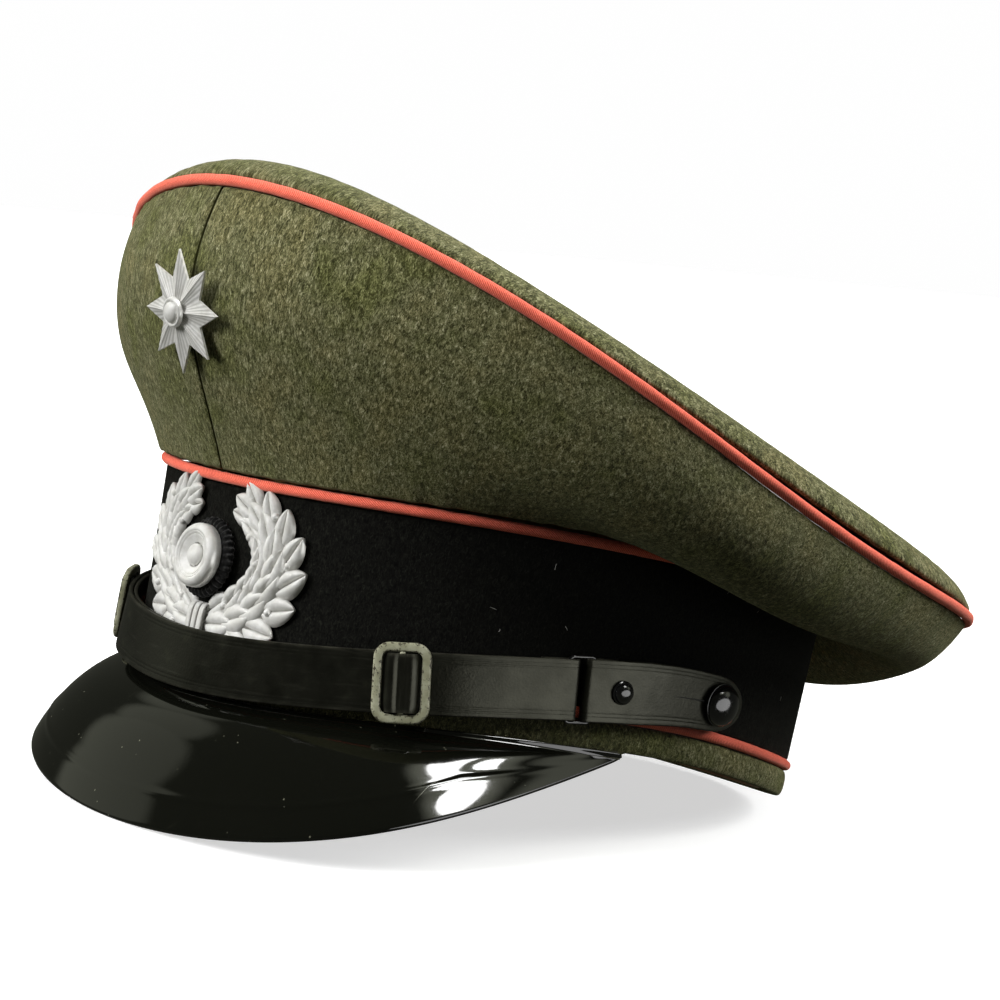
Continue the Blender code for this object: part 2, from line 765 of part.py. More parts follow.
def window_outline(sign):
    """One of the two windows beside the buckle's bar."""
    width = BUCKLE_WIDTH / 2 - BUCKLE_RIM - BUCKLE_BAR / 2
    middle = sign * (BUCKLE_BAR / 2 + width / 2)
    height = BUCKLE_HEIGHT / 2 - BUCKLE_RIM
    corner = BUCKLE_WINDOW_CORNER
    return [(x + middle, y) for x, y in rounded_outline(width / 2, height, corner, 3)]


def make_buckle(bench, side, parent):
    angle = math.radians(BUCKLE_ANGLES[side])
    out = STRAP_THICKNESS + BUCKLE_GAP + BUCKLE_THICKNESS / 2
    matrix = strap_frame(angle, BUCKLE_LAYER, out)
    rim = rounded_outline(BUCKLE_WIDTH / 2, BUCKLE_HEIGHT / 2, BUCKLE_CORNER, 5)
    name = "buckle_" + side
    outlines = [rim, window_outline(1), window_outline(-1)]
    curve = plate_curve(name, outlines, BUCKLE_THICKNESS)
    bench.add(name, curve, "grey_paint", parent, matrix)
    buckle_fold(bench, side, matrix, parent)


def buckle_fold(bench, side, matrix, parent):
    """The strap's end, folded over the buckle's bar so that it shows as two rolls."""
    half = BUCKLE_WIDTH / 2 - BUCKLE_RIM - 0.4 * MM
    bar = BUCKLE_BAR / 2 + 0.4 * MM
    back = -BUCKLE_THICKNESS / 2 + 0.1 * MM
    over_bar = BUCKLE_THICKNESS / 2 + 0.35 * MM
    crest = over_bar + 0.9 * MM
    valley = 0.6 * MM
    top = []
    for x in spread(half, -half, 19):
        roll = math.sin(math.pi * abs(x) / half) ** 0.5 if 0 < abs(x) < half else 0.0
        floor = valley + over_bar if abs(x) < half / 2 else 0.0
        top.append((x, max(floor, crest * roll)))
    section = [(-half, back), (-bar, back), (-bar, over_bar), (bar, over_bar), (bar, back),
               (half, back)] + top
    length = BUCKLE_HEIGHT / 2 - BUCKLE_RIM - 0.5 * MM
    rings = [[Vector((x, y, z)) for x, z in section] for y in (-length, length)]
    name = "buckle_fold_" + side
    bench.add(name, tube_mesh(name, rings), "black_leather", parent, matrix)


def dome_profile(radius, height, foot, steps=5):
    profile = []
    for step in range(steps + 1):
        turn = math.pi / 2 * step / steps
        profile.append((radius * math.sin(turn), foot + height * math.cos(turn)))
    return profile


def tab_stud(bench, side, sign, layer, parent):
    angle = math.radians(STUD_ANGLE) * sign
    foot = STRAP_THICKNESS + 0.3 * MM
    matrix = strap_frame(angle, layer, foot)
    profile = dome_profile(STUD_RADIUS, 2.0 * MM, 0.5 * MM) + [(STUD_RADIUS, 0.0), (0.0, 0.0)]
    turned_piece(bench, "tab_stud_" + side, profile, "black_paint", parent, matrix, 16)


def button_place(sign):
    angle = math.radians(BUTTON_ANGLE) * sign
    height = strap_height(angle)
    return band_point(angle, height), band_normal(angle)


def side_button(bench, side, sign, layer, strips, tab):
    place, outward = button_place(sign)
    angle = math.radians(BUTTON_ANGLE) * sign
    foot = strap_out(angle, layer) + STRAP_THICKNESS + 0.4 * MM
    inside_end = STIFFENER_GROWTH - STIFFENER_THICKNESS - 1.2 * MM
    profile = dome_profile(BUTTON_RADIUS, 3.6 * MM, foot + 0.9 * MM)
    profile += [(BUTTON_RADIUS, foot + 0.4 * MM), (BUTTON_RADIUS - 1.0 * MM, foot),
                (SHANK_RADIUS, foot), (SHANK_RADIUS, inside_end), (0.0, inside_end)]
    turned_piece(bench, "side_button_" + side, profile, "black_paint", None,
                 facing(place, outward), 20)
    for name in ("cap_band", "band_stiffener"):
        drill(bench, strips[name], place, outward, HOLE_RADIUS)
    drill(bench, tab, place, outward, SHANK_RADIUS + 0.4 * MM)
    washer(bench, "button_washer_" + side, place, outward)


def washer(bench, name, place, outward, radius=WASHER_RADIUS):
    """The plate inside the band that the bent shank holds against."""
    thickness = 0.5 * MM
    bore = SHANK_RADIUS + 0.35 * MM
    middle = STIFFENER_GROWTH - STIFFENER_THICKNESS - 0.3 * MM - thickness / 2
    matrix = facing(place + outward * middle, outward)
    outlines = [circle_outline(radius, 16), circle_outline(bore, 10)]
    bench.add(name, plate_curve(name, outlines, thickness), "steel", None, matrix)


def circle_outline(radius, count):
    return [(radius * math.cos(turn), radius * math.sin(turn)) for turn in ring_angles(count)]


def make_strap(bench, strips):
    left, _ = button_place(1)
    right, _ = button_place(-1)
    swing = bench.empty("strap_swing_axis", (left + right) / 2, bench.rest)
    ends = {
        "outer": (-STRAP_END_ANGLE, BUCKLE_ANGLES["left"] + OVERLAP_END, 1),
        "inner": (BUCKLE_ANGLES["right"] - OVERLAP_END, STRAP_END_ANGLE, 0),
    }
    for name, (first, last, layer) in ends.items():
        strap_layer(bench, "strap_" + name, layer, first, last, swing)
    for side, sign, layer in (("left", 1, 0), ("right", -1, 1)):
        tab = end_tab(bench, side, sign, layer, swing)
        strap_loop(bench, side, sign, layer, swing)
        tab_stud(bench, side, sign, layer, swing)
        side_button(bench, side, sign, layer, strips, tab)
        centre, _, _ = buckle_travel(side)
        make_buckle(bench, side, bench.empty("buckle_axis_" + side, centre, swing))


# ---------------------------------------------------------------- badges

def wreath_section(turn):
    """A ring of points round the wreath's band at one place on its sweep."""
    fade = 1.0 - 0.25 * (abs(turn) / math.radians(WREATH_SWEEP)) ** 4
    half = WREATH_BAND / 2 * fade
    squash = 0.56 + 0.44 * abs(math.sin(turn))
    direction = Vector((math.sin(turn), -math.cos(turn)))
    centre = Vector((WREATH_HALF_WIDTH * direction.x,
                     ROSETTE_HEIGHT + WREATH_HALF_HEIGHT * direction.y))
    ring = []
    for step in range(8):
        angle = 2 * math.pi * step / 8
        radial = half * squash * math.cos(angle)
        out = BADGE_STAND_OFF + WREATH_THICKNESS * 0.5 * (1 + math.sin(angle))
        spot = centre + direction * radial
        ring.append(on_band(spot.x, spot.y, out))
    return ring


def make_wreath(bench):
    turns = [math.radians(angle) for angle in spread(-WREATH_SWEEP, WREATH_SWEEP, 25)]
    rings = [wreath_section(turn) for turn in turns]
    bench.add("wreath_badge", tube_mesh("wreath_badge", rings), "silver_metal")


def pin(bench, name, place, direction, length):
    matrix = facing(place, direction)
    profile = [(0.0, length), (PIN_RADIUS, length), (PIN_RADIUS, 0.0), (0.0, 0.0)]
    turned_piece(bench, name, profile, "steel", None, matrix, 8)


def badge_pins(bench, strips, panels):
    """Two prongs behind each badge, through the cloth and its stiffener."""
    inner_end = STIFFENER_GROWTH - STIFFENER_THICKNESS - 1.0 * MM
    for side, sign in (("left", 1), ("right", -1)):
        across = sign * WREATH_PRONG_REACH
        outward = band_normal(across / BAND_HALF_WIDTH)
        place = on_band(across, ROSETTE_HEIGHT, 0.0)
        pin(bench, "wreath_prong_" + side, place + outward * inner_end, outward,
            0.25 * MM - inner_end)
        for name in ("cap_band", "band_stiffener"):
            drill(bench, strips[name], place, outward, PIN_HOLE_RADIUS)
        frame = star_frame()
        across_star = frame @ Vector((sign * STAR_PRONG_REACH, 0.0, -STAR_STAND_OFF))
        normal = frame.to_3x3() @ Vector((0, 0, 1))
        pin(bench, "star_prong_" + side, across_star - normal * PIN_REACH, normal,
            PIN_REACH + STAR_STAND_OFF - SEAM_GAP)
        drill(bench, panels[side], across_star, normal, PIN_HOLE_RADIUS, 2 * PIN_REACH)


def make_rosette(bench):
    outward = band_normal(0.0)
    centre = on_band(0.0, ROSETTE_HEIGHT, 0.0)
    matrix = facing(centre, outward)
    chamfer = 0.8 * MM
    backing = [(0.0, ROSETTE_FACE), (ROSETTE_BACK_RADIUS - chamfer, ROSETTE_FACE),
               (ROSETTE_BACK_RADIUS, ROSETTE_FACE - chamfer),
               (ROSETTE_BACK_RADIUS, ROSETTE_BACK), (0.0, ROSETTE_BACK)]
    turned_piece(bench, "rosette_backing", backing, "dark_ribbed_cloth", None, matrix, 24)
    foot = ROSETTE_FACE + SEAM_GAP
    bore = ROSETTE_DOME_RADIUS + SEAM_GAP
    floor = foot + 1.4 * MM
    ring = [(0.0, floor), (bore, floor), (bore, foot + 3.0 * MM), (bore + 1.6 * MM, foot + 3.4 * MM),
            (ROSETTE_RADIUS - 1.8 * MM, foot + 4.0 * MM), (ROSETTE_RADIUS - 0.6 * MM, foot + 3.7 * MM),
            (ROSETTE_RADIUS, foot + 2.6 * MM), (ROSETTE_RADIUS, foot), (0.0, foot)]
    turned_piece(bench, "rosette_ring", ring, "silver_metal", None, matrix, 24)
    base = floor + SEAM_GAP
    dome = dome_profile(ROSETTE_DOME_RADIUS, 1.4 * MM, base + 0.8 * MM)
    dome += [(ROSETTE_DOME_RADIUS, base), (0.0, base)]
    turned_piece(bench, "rosette_dome", dome, "silver_metal", None, matrix, 16)


def star_frame():
    """A matrix on the front of the crown: X across, Y up the crown, Z outwards."""
    place = side_point(0.0, STAR_PLACE)
    up = (side_point(0.0, STAR_PLACE + 0.05) - side_point(0.0, STAR_PLACE - 0.05)).normalized()
    across = Vector((1, 0, 0))
    outward = across.cross(up)
    basis = Matrix((across, up, outward)).transposed().to_4x4()
    return Matrix.Translation(place + outward * STAR_STAND_OFF) @ basis


def make_star(bench):
    """A faceted star, raised to a plain boss in the middle."""
    shape = bmesh.new()
    bmesh.ops.create_cone(shape, cap_ends=True, segments=2 * STAR_POINTS, radius1=STAR_RADIUS,
                          radius2=BOSS_RADIUS, depth=STAR_HEIGHT)
    rim = sorted((spot for spot in shape.verts if spot.co.z < 0),
                 key=lambda spot: math.atan2(spot.co.y, spot.co.x))
    for spot in rim[::2]:
        spot.co.xy *= STAR_INNER_RADIUS / STAR_RADIUS
    bmesh.ops.translate(shape, verts=shape.verts, vec=(0, 0, STAR_HEIGHT / 2))
    mesh = bpy.data.meshes.new("star_badge")
    shape.to_mesh(mesh)
    shape.free()
    bench.add("star_badge", mesh, "silver_metal", None, star_frame())
    foot = STAR_HEIGHT + SEAM_GAP
    profile = dome_profile(BOSS_RADIUS, BOSS_RISE, foot + 0.4 * MM)
    profile += [(BOSS_RADIUS, foot), (0.0, foot)]
    turned_piece(bench, "star_boss", profile, "silver_metal", None, star_frame(), 16)


# ---------------------------------------------------------------- resting pose

def world_points(items):
    """Every point of the finished pieces, in the world."""
    bpy.context.view_layer.update()
    graph = bpy.context.evaluated_depsgraph_get()
    points = []
    for item in items:
        solid = item.evaluated_get(graph)
        mesh = solid.to_mesh()
        points += [solid.matrix_world @ spot.co for spot in mesh.vertices]
        solid.to_mesh_clear()
    return points


def lowest(item):
    return min(world_points([item]), key=lambda point: point.z)


def settle(bench):
    """Pitches the cap until its peak and the rear of its rim both stand on one flat surface,
    then puts the origin at the middle of its base."""
    peak = bench.parts.objects["visor_shell"]
    rim = bench.parts.objects["lower_trim"]
    bench.rest.rotation_euler.x = -math.radians(FIRST_PITCH)
    for _ in range(PITCH_ROUNDS):
        front = lowest(peak)
        rear = lowest(rim)
        bench.rest.rotation_euler.x -= math.atan2(rear.z - front.z, rear.y - front.y)
    points = world_points([item for item in bench.parts.objects if item.type != "EMPTY"])
    low = Vector([min(point[axis] for point in points) for axis in range(3)])
    high = Vector([max(point[axis] for point in points) for axis in range(3)])
    bench.rest.location = (0.0, -(low.y + high.y) / 2, -low.z)
    bpy.context.view_layer.update()


def build():
    bench = Bench()
    strips = make_band(bench)
    panels = make_crown(bench)
    make_lining(bench)
    make_sweat_shield(bench)
    make_peak(bench)
    make_strap(bench, strips)
    make_wreath(bench)
    make_rosette(bench)
    make_star(bench)
    badge_pins(bench, strips, panels)
    settle(bench)


build()
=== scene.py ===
"""The looks of a military peaked cap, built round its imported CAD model.

The cap is drawn in its band frame, as the CAD model is: the origin is the centre of the head
opening, -Y is the front, +X the wearer's left and +Z the top. REST carries the band frame into
the row frame. Angles run round the band from the front towards the wearer's left. A piece is a
grid of points, in rows and columns, and every length is in metres.
"""

import json
import math

import bmesh
import bpy
import numpy as np
from mathutils import Matrix, Vector


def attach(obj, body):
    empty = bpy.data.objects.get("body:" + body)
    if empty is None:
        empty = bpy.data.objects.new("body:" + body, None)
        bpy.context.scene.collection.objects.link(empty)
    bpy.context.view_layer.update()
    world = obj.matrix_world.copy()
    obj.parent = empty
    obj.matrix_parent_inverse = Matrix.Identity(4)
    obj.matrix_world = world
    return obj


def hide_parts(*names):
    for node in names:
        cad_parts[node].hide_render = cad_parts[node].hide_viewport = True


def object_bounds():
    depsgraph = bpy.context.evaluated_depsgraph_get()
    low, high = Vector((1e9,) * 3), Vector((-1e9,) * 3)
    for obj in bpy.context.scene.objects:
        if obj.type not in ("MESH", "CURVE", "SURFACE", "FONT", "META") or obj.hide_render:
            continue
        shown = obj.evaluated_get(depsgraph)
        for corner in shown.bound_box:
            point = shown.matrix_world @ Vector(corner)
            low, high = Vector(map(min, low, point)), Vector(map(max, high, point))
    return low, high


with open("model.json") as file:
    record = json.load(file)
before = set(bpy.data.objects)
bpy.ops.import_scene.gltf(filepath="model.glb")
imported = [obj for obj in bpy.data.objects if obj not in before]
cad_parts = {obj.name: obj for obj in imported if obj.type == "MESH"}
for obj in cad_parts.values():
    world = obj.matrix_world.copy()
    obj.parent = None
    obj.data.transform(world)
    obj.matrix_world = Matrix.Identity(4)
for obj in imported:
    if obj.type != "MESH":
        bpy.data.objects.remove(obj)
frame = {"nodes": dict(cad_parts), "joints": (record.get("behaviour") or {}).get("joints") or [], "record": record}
CAD_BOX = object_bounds()

MM = 0.001

# Band
BAND_HALF_LENGTH = 102.0 * MM
BAND_HALF_WIDTH = 87.6 * MM
BAND_FULLNESS = 0.047
BAND_LEAN = 4.5 * MM
LOWER_PIPING_HEIGHT = 9.4 * MM
UPPER_PIPING_HEIGHT = 55.2 * MM
RIM_DROP_FRONT = 11.5 * MM
TOP_DROP_FRONT = 7.0 * MM
RIM_DROP_REAR = 7.8 * MM
CLOTH = 1.9 * MM
PIPING_RADIUS = 1.5 * MM
LOWER_PIPING_GROWTH = -0.2 * MM
UPPER_PIPING_GROWTH = 0.6 * MM
SWEATBAND_GROWTH = -5.6 * MM
SWEATBAND_THICKNESS = 1.2 * MM
SWEATBAND_HEIGHT = 41.0 * MM

# Crown, measured on the piping round its edge. The piping's height is CROWN_HEIGHT and these
# waves, which turn once, twice, three and four times round the cap.
CROWN_HALF_LENGTH = 138.3 * MM
CROWN_HALF_WIDTH = 123.2 * MM
CROWN_FULLNESS = 0.027
CROWN_SET_BACK = 12.3 * MM
CROWN_HEIGHT = 82.2 * MM
CROWN_WAVES = (36.1 * MM, 9.1 * MM, 0.7 * MM, -1.2 * MM)
CROWN_CENTRE_RISE = 9.4 * MM
CROWN_PIPING_RADIUS = 1.6 * MM
# Lengths, and slopes in degrees, at the five stations: front, quarter, side, quarter and rear
STATIONS = (0.0, 45.0, 90.0, 135.0, 180.0)
ROLL_INSET = (12.5 * MM, 14.6 * MM, 15.9 * MM, 14.1 * MM, 15.2 * MM)
ROLL_RISE = (8.3 * MM, 7.9 * MM, 14.2 * MM, 10.0 * MM, 10.4 * MM)
SIDE_FOOT_GROWTH = (3.2 * MM, 3.3 * MM, 4.4 * MM, 4.4 * MM, 4.4 * MM)
SIDE_START_LENGTH = (33.4 * MM, 27.9 * MM, 36.2 * MM, 36.1 * MM, 42.5 * MM)
SIDE_START_SLOPE = (61.4, 45.8, -48.0, -37.7, -47.9)
SIDE_BULGE = (11.1 * MM, 3.7 * MM, 2.7 * MM, -3.9 * MM, -3.9 * MM)
SIDE_END_LENGTH = (36.4 * MM, 25.3 * MM, 8.8 * MM, 10.7 * MM, 33.0 * MM)
SEAM_ANGLE = 0.0042

# Peak
PEAK_CORNER_ANGLE = 82.6
PEAK_LENGTH = 114.0 * MM
PEAK_SLOPE = 24.9
PEAK_FULLNESS = 60.7 * MM
PEAK_BULGE = 6.4 * MM
PEAK_EDGE_LIFT = 3.3 * MM
PEAK_ROUNDING = 1.14
PEAK_THICKNESS = 1.6 * MM
PEAK_TUCK = 2.2 * MM
PEAK_TRIM = 0.985
PEAK_GAP = 0.35 * MM

# Chin strap
STRAP_WIDTH = 16.8 * MM
STRAP_THICKNESS = 1.2 * MM
STRAP_FRONT_HEIGHT = 8.9 * MM
STRAP_CLIMB = 10.1 * MM
STRAP_CLIMB_SOFTNESS = 0.12
STRAP_INNER_OUT = 2.1 * MM
STRAP_FRONT_BULGE = 2.3 * MM
STRAP_SIDE_BULGE = 1.2 * MM
LAYER_STEP = 1.5 * MM
BUTTON_ANGLE = 97.5
STUD_ANGLE = 77.7
TAB_START_ANGLE = 72.5
TAB_END_ANGLE = 103.4
TAB_WIDTH = 17.4 * MM
LOOP_ANGLE = 71.1
LOOP_WIDTH = 8.8 * MM
LOOP_HEIGHT = 19.0 * MM
LOOP_WIRE = 0.55 * MM
STRAP_END_ANGLE = 69.7
BUCKLE_ANGLES = {"left": 44.0, "right": -44.0}
BUCKLE_WIDTH = 15.6 * MM
BUCKLE_HEIGHT = 21.6 * MM
BUCKLE_RIM = 2.5 * MM
BUCKLE_BAR = 1.6 * MM
BUCKLE_THICKNESS = 1.9 * MM
BUCKLE_GAP = 0.8 * MM
OVERLAP_END = 3.0

# Buttons and badges
BUTTON_RADIUS = 6.25 * MM
STUD_RADIUS = 3.5 * MM
ROSETTE_HEIGHT = 34.6 * MM
ROSETTE_RADIUS = 9.0 * MM
ROSETTE_DOME_RADIUS = 3.1 * MM
WREATH_HALF_WIDTH = 26.0 * MM
WREATH_HALF_HEIGHT = 16.8 * MM
WREATH_SWEEP = 146.0
STAR_RADIUS = 17.0 * MM
STAR_INNER_RADIUS = 9.5 * MM
STAR_HEIGHT = 3.2 * MM
STAR_POINTS = 8
STAR_PLACE = 0.56
STAR_STAND_OFF = 2.2 * MM

# Lining
LINING_THICKNESS = 0.9 * MM
LINING_FOOT_HEIGHT = 43.5 * MM
LINING_FOOT_GROWTH = -5.0 * MM
LINING_TILT = 12.0
LINING_TOP_CENTRE = np.array([0.0, 11.0, 79.0]) * MM
LINING_TOP_HALF_LENGTH = 74.0 * MM
LINING_TOP_HALF_WIDTH = 62.0 * MM
SHIELD_HALF_LENGTH = 62.0 * MM
SHIELD_HALF_WIDTH = 50.0 * MM
SHIELD_THICKNESS = 0.6 * MM

# Camera, placed round the cap when its band is pitched forward by VIEW_PITCH
VIEW_PITCH = 17.53
VIEW_AZIMUTH = 50.31
VIEW_ELEVATION = 10.27
VIEW_DISTANCE = 866.3 * MM
VIEW_TARGET_ACROSS = 11.9 * MM
VIEW_TARGET_HEIGHT = 60.9 * MM
LENS = 105.3
SENSOR = 36.0

# Studio
BACKDROP_RADIUS = 9.0
FLOOR_GLOW = 0.62
FLOOR_DROP = 0.7 * MM
ROOM_TONES = ((0.0, 0.09), (0.42, 0.07), (0.52, 0.045), (1.0, 0.045))
ROOM_TINT = (0.97, 1.0, 0.80)
# Soft patches of light in the room: azimuth, elevation, bright radius, faded radius, strength
ROOM_LIGHTS = (
    (-59.0, 8.0, 13.0, 18.0, 0.37), (-62.0, 22.0, 13.0, 18.0, 0.37), (-73.0, 35.0, 9.0, 14.0, 0.34),
    (-96.0, 40.0, 6.0, 12.0, 0.3),
    (110.0, 53.0, 8.0, 18.0, 1.4), (128.0, 70.0, 8.0, 16.0, 1.4), (132.0, 28.0, 4.0, 14.0, 0.8),
)

# Name, azimuth, elevation, strength and angular width
SOFT_LIGHTS = (("key", -20.0, 27.0, 4.4, 30.0), ("top", 0.0, 75.0, 2.3, 40.0),
               ("back", 156.0, 32.0, 4.3, 40.0))
# Name, azimuth, elevation, distance, width, height and radiance
GLOSS_LIGHTS = (("high_lamp", 128.0, 70.0, 6.0, 1.7, 1.6, 16.0),
                ("side_lamp", 109.0, 53.0, 6.0, 2.0, 1.5, 16.0),
                ("low_card", 100.0, -2.0, 1.5, 2.0, 1.0, 2.3))

UP = np.array([0.0, 0.0, 1.0])
INSIDE = np.array([0.0, 0.0, 40.0]) * MM
rng = np.random.default_rng(7)


# ---------------------------------------------------------------- geometry of the cap

def join(x, y, z):
    return np.stack(np.broadcast_arrays(x, y, z), axis=-1).astype(float)


def unit(vectors):
    return vectors / np.maximum(np.linalg.norm(vectors, axis=-1, keepdims=True), 1e-12)


def around(values, angle):
    """A value given at the five stations, blended smoothly round the cap."""
    place = np.cos(angle)
    stations = [math.cos(math.radians(station)) for station in STATIONS]
    total = 0.0
    for value, here in zip(values, stations):
        weight = 1.0
        for other in stations:
            if other != here:
                weight = weight * (place - other) / (here - other)
        total = total + value * weight
    return total


def rim_drop(angle, height):
    share = np.clip((height - LOWER_PIPING_HEIGHT) / (UPPER_PIPING_HEIGHT - LOWER_PIPING_HEIGHT), 0, 1)
    front = RIM_DROP_FRONT * (1 - share) + TOP_DROP_FRONT * share
    rear = RIM_DROP_REAR * (1 - np.sin(angle) ** 4)
    return np.where(np.cos(angle) > 0, front * np.cos(angle) ** 2, rear)


def fuller(angle, fullness):
    """How much an oval stands out from a plain ellipse, between its front, sides and rear."""
    return 1 + fullness * np.sin(2 * angle) ** 2


def front_lean(angle, height):
    """How far the front of the band is set back below its upper edge."""
    share = np.clip(height / UPPER_PIPING_HEIGHT, 0, 1)
    return BAND_LEAN * (1 - share) * (1 - np.sin(angle) ** 4) * (np.cos(angle) > 0)


def band_point(angle, height, growth=0.0):
    out = fuller(angle, BAND_FULLNESS)
    grown = growth - front_lean(angle, height)
    return join((BAND_HALF_WIDTH + grown) * np.sin(angle) * out,
                -(BAND_HALF_LENGTH + grown) * np.cos(angle) * out,
                height - rim_drop(angle, height))


def oval_normal(angle, half_length, half_width, fullness):
    out = fuller(angle, fullness)
    change = 2 * fullness * np.sin(4 * angle)
    sine, cosine = np.sin(angle), np.cos(angle)
    return unit(join(half_length * (sine * out - cosine * change),
                     -half_width * (cosine * out + sine * change), 0.0))


def band_normal(angle):
    return oval_normal(angle, BAND_HALF_LENGTH, BAND_HALF_WIDTH, BAND_FULLNESS)


def on_band(across, height, out):
    """A point on the front of the band, by its distance round the band from the centre."""
    angle = across / BAND_HALF_WIDTH
    return band_point(angle, height) + band_normal(angle) * np.asarray(out)[..., None]


def crown_waves(angle, radius=1.0):
    return sum(size * radius ** turns * np.cos(turns * angle)
               for turns, size in enumerate(CROWN_WAVES, 1))


def crown_point(angle):
    out = fuller(angle, CROWN_FULLNESS)
    return join(CROWN_HALF_WIDTH * np.sin(angle) * out,
                CROWN_SET_BACK - CROWN_HALF_LENGTH * np.cos(angle) * out,
                CROWN_HEIGHT + crown_waves(angle))


def crown_normal(angle):
    return oval_normal(angle, CROWN_HALF_LENGTH, CROWN_HALF_WIDTH, CROWN_FULLNESS)


def side_point(angle, share):
    """The outer face of the crown's side, from the band piping (0) to the crown piping (1)."""
    height = UPPER_PIPING_HEIGHT + PIPING_RADIUS + CLOTH / 2
    foot = band_point(angle, height, around(SIDE_FOOT_GROWTH, angle))
    head = crown_point(angle)
    slope = np.radians(around(SIDE_START_SLOPE, angle))
    reach = around(SIDE_START_LENGTH, angle)
    leave = foot + band_normal(angle) * (reach * np.cos(slope))[..., None]
    leave[..., 2] += reach * np.sin(slope)
    arrive = head + crown_normal(angle) * around(SIDE_BULGE, angle)[..., None]
    arrive[..., 2] -= around(SIDE_END_LENGTH, angle)
    share = np.asarray(share)[..., None]
    rest = 1 - share
    return (foot * rest ** 3 + leave * 3 * rest ** 2 * share
            + arrive * 3 * rest * share ** 2 + head * share ** 3)


def side_end_share(angle):
    """Where the side panel stops, so that its turned edge lies against the crown piping."""
    share = np.ones_like(angle)
    head = crown_point(angle)
    clear = CROWN_PIPING_RADIUS + CLOTH / 2
    for _ in range(200):
        near = np.linalg.norm(side_point(angle, share) - head, axis=-1) < clear
        share = share - 0.001 * near
    return share


def roll_point(angle, turn):
    """The rolled edge of the top panel, from the piping (0) to the flat (pi / 2)."""
    inset = around(ROLL_INSET, angle) * (1 - np.cos(turn))
    point = crown_point(angle) - crown_normal(angle) * inset[..., None]
    point[..., 2] += around(ROLL_RISE, angle) * np.sin(turn)
    return point


def panel_point(angle, radius):
    """The saddle-shaped top panel, from its centre (0) to the rolled edge (1)."""
    centre = np.array([0.0, CROWN_SET_BACK, 0.0])
    point = centre + (roll_point(angle, math.pi / 2) - centre) * np.asarray(radius)[..., None]
    rise = (around(ROLL_RISE, angle) - CROWN_CENTRE_RISE) * radius ** 2
    point[..., 2] = CROWN_HEIGHT + CROWN_CENTRE_RISE + rise + crown_waves(angle, radius)
    return point


def peak_point(across, out):
    """The top face of the peak: across from -1 to 1, out from the band (0) to the edge (1)."""
    corner = math.radians(PEAK_CORNER_ANGLE)
    inner = band_point(across * corner, -PEAK_GAP, 1.0 * MM)
    end = band_point(corner, -PEAK_GAP, 1.0 * MM)
    turn = across * math.pi / 2
    reach = PEAK_LENGTH * np.maximum(np.cos(turn), 0.0) ** PEAK_ROUNDING
    slope = math.radians(PEAK_SLOPE)
    outer = join((end[0] + PEAK_FULLNESS * np.cos(turn) ** 2) * np.sin(turn),
                 end[1] - reach * math.cos(slope),
                 end[2] - reach * math.sin(slope) + PEAK_EDGE_LIFT * np.sin(2 * turn) ** 2)
    crown = PEAK_BULGE * np.cos(turn) ** 2 * 4 * out * (1 - out)
    raised = join(0.5 * np.sin(across * corner), -0.5 * np.cos(turn), 0.85)
    share = np.asarray(out)[..., None]
    return inner * (1 - share) + outer * share + raised * np.asarray(crown)[..., None]


def strap_height(angle):
    """The strap climbs from the front to the sides and runs level behind them."""
    ahead = (np.cos(angle) + np.hypot(np.cos(angle), STRAP_CLIMB_SOFTNESS)) / 2
    return STRAP_FRONT_HEIGHT + STRAP_CLIMB * (1 - ahead)


def strap_out(angle, layer):
    """How far the strap's back face stands off the band: more over the wreath and the loops."""
    front = STRAP_FRONT_BULGE * np.maximum(np.cos(angle), 0.0) ** 6
    side = STRAP_SIDE_BULGE * np.sin(angle) ** 4
    return STRAP_INNER_OUT + front + side + LAYER_STEP * layer


def strap_point(angle, layer, out=0.0):
    return (band_point(angle, strap_height(angle))
            + band_normal(angle) * np.asarray(strap_out(angle, layer) + out)[..., None])


def placed(origin, x, y, z):
    """A 4x4 array with that origin and those axes as columns."""
    made = np.eye(4)
    made[:3, 0], made[:3, 1], made[:3, 2], made[:3, 3] = x, y, z, origin
    return made


def strap_frame(angle, layer, out):
    """A matrix on the strap: X along it, Z outwards."""
    step = math.radians(1.0)
    along = unit(strap_point(angle + step, layer) - strap_point(angle - step, layer))
    outward = band_normal(angle)
    across = unit(np.cross(outward, along))
    return placed(strap_point(angle, layer, out), along, across, np.cross(along, across))


def facing(origin, outward):
    """A matrix at a place on the band with its Z outwards and its Y upwards."""
    across = unit(np.cross(UP, outward))
    return placed(origin, across, np.cross(outward, across), outward)


def star_frame():
    """A matrix on the front of the crown: X across, Y up the crown, Z outwards."""
    zero = np.array(0.0)
    place = side_point(zero, STAR_PLACE)
    up = unit(side_point(zero, STAR_PLACE + 0.05) - side_point(zero, STAR_PLACE - 0.05))
    across = np.array([1.0, 0.0, 0.0])
    outward = np.cross(across, up)
    return placed(place + outward * STAR_STAND_OFF, across, up, outward)


def rest_matrix():
    """The band frame in the row frame: pitched as the seat mount says, hung on the strap's axis."""
    seat = next(m for m in frame["record"]["mounts"] if m["name"] == "crown_seat")
    swing = next(j for j in frame["joints"] if j["name"] == "strap_swing")
    pitch = math.atan2(-seat["axis"][1], -seat["axis"][2]) - math.radians(LINING_TILT)
    turn = np.array(Matrix.Rotation(-pitch, 4, "X"))
    angle = math.radians(BUTTON_ANGLE)
    button = band_point(angle, strap_height(angle))
    button[0] = 0.0
    turn[:3, 3] = np.array(swing["pos_m"]) - turn[:3, :3] @ button
    return turn


REST = rest_matrix()


def moved(points, matrix):
    return points @ matrix[:3, :3].T + matrix[:3, 3]


# ---------------------------------------------------------------- making pieces

EDGE_STEPS = 6
SPHERE_STEPS = 16


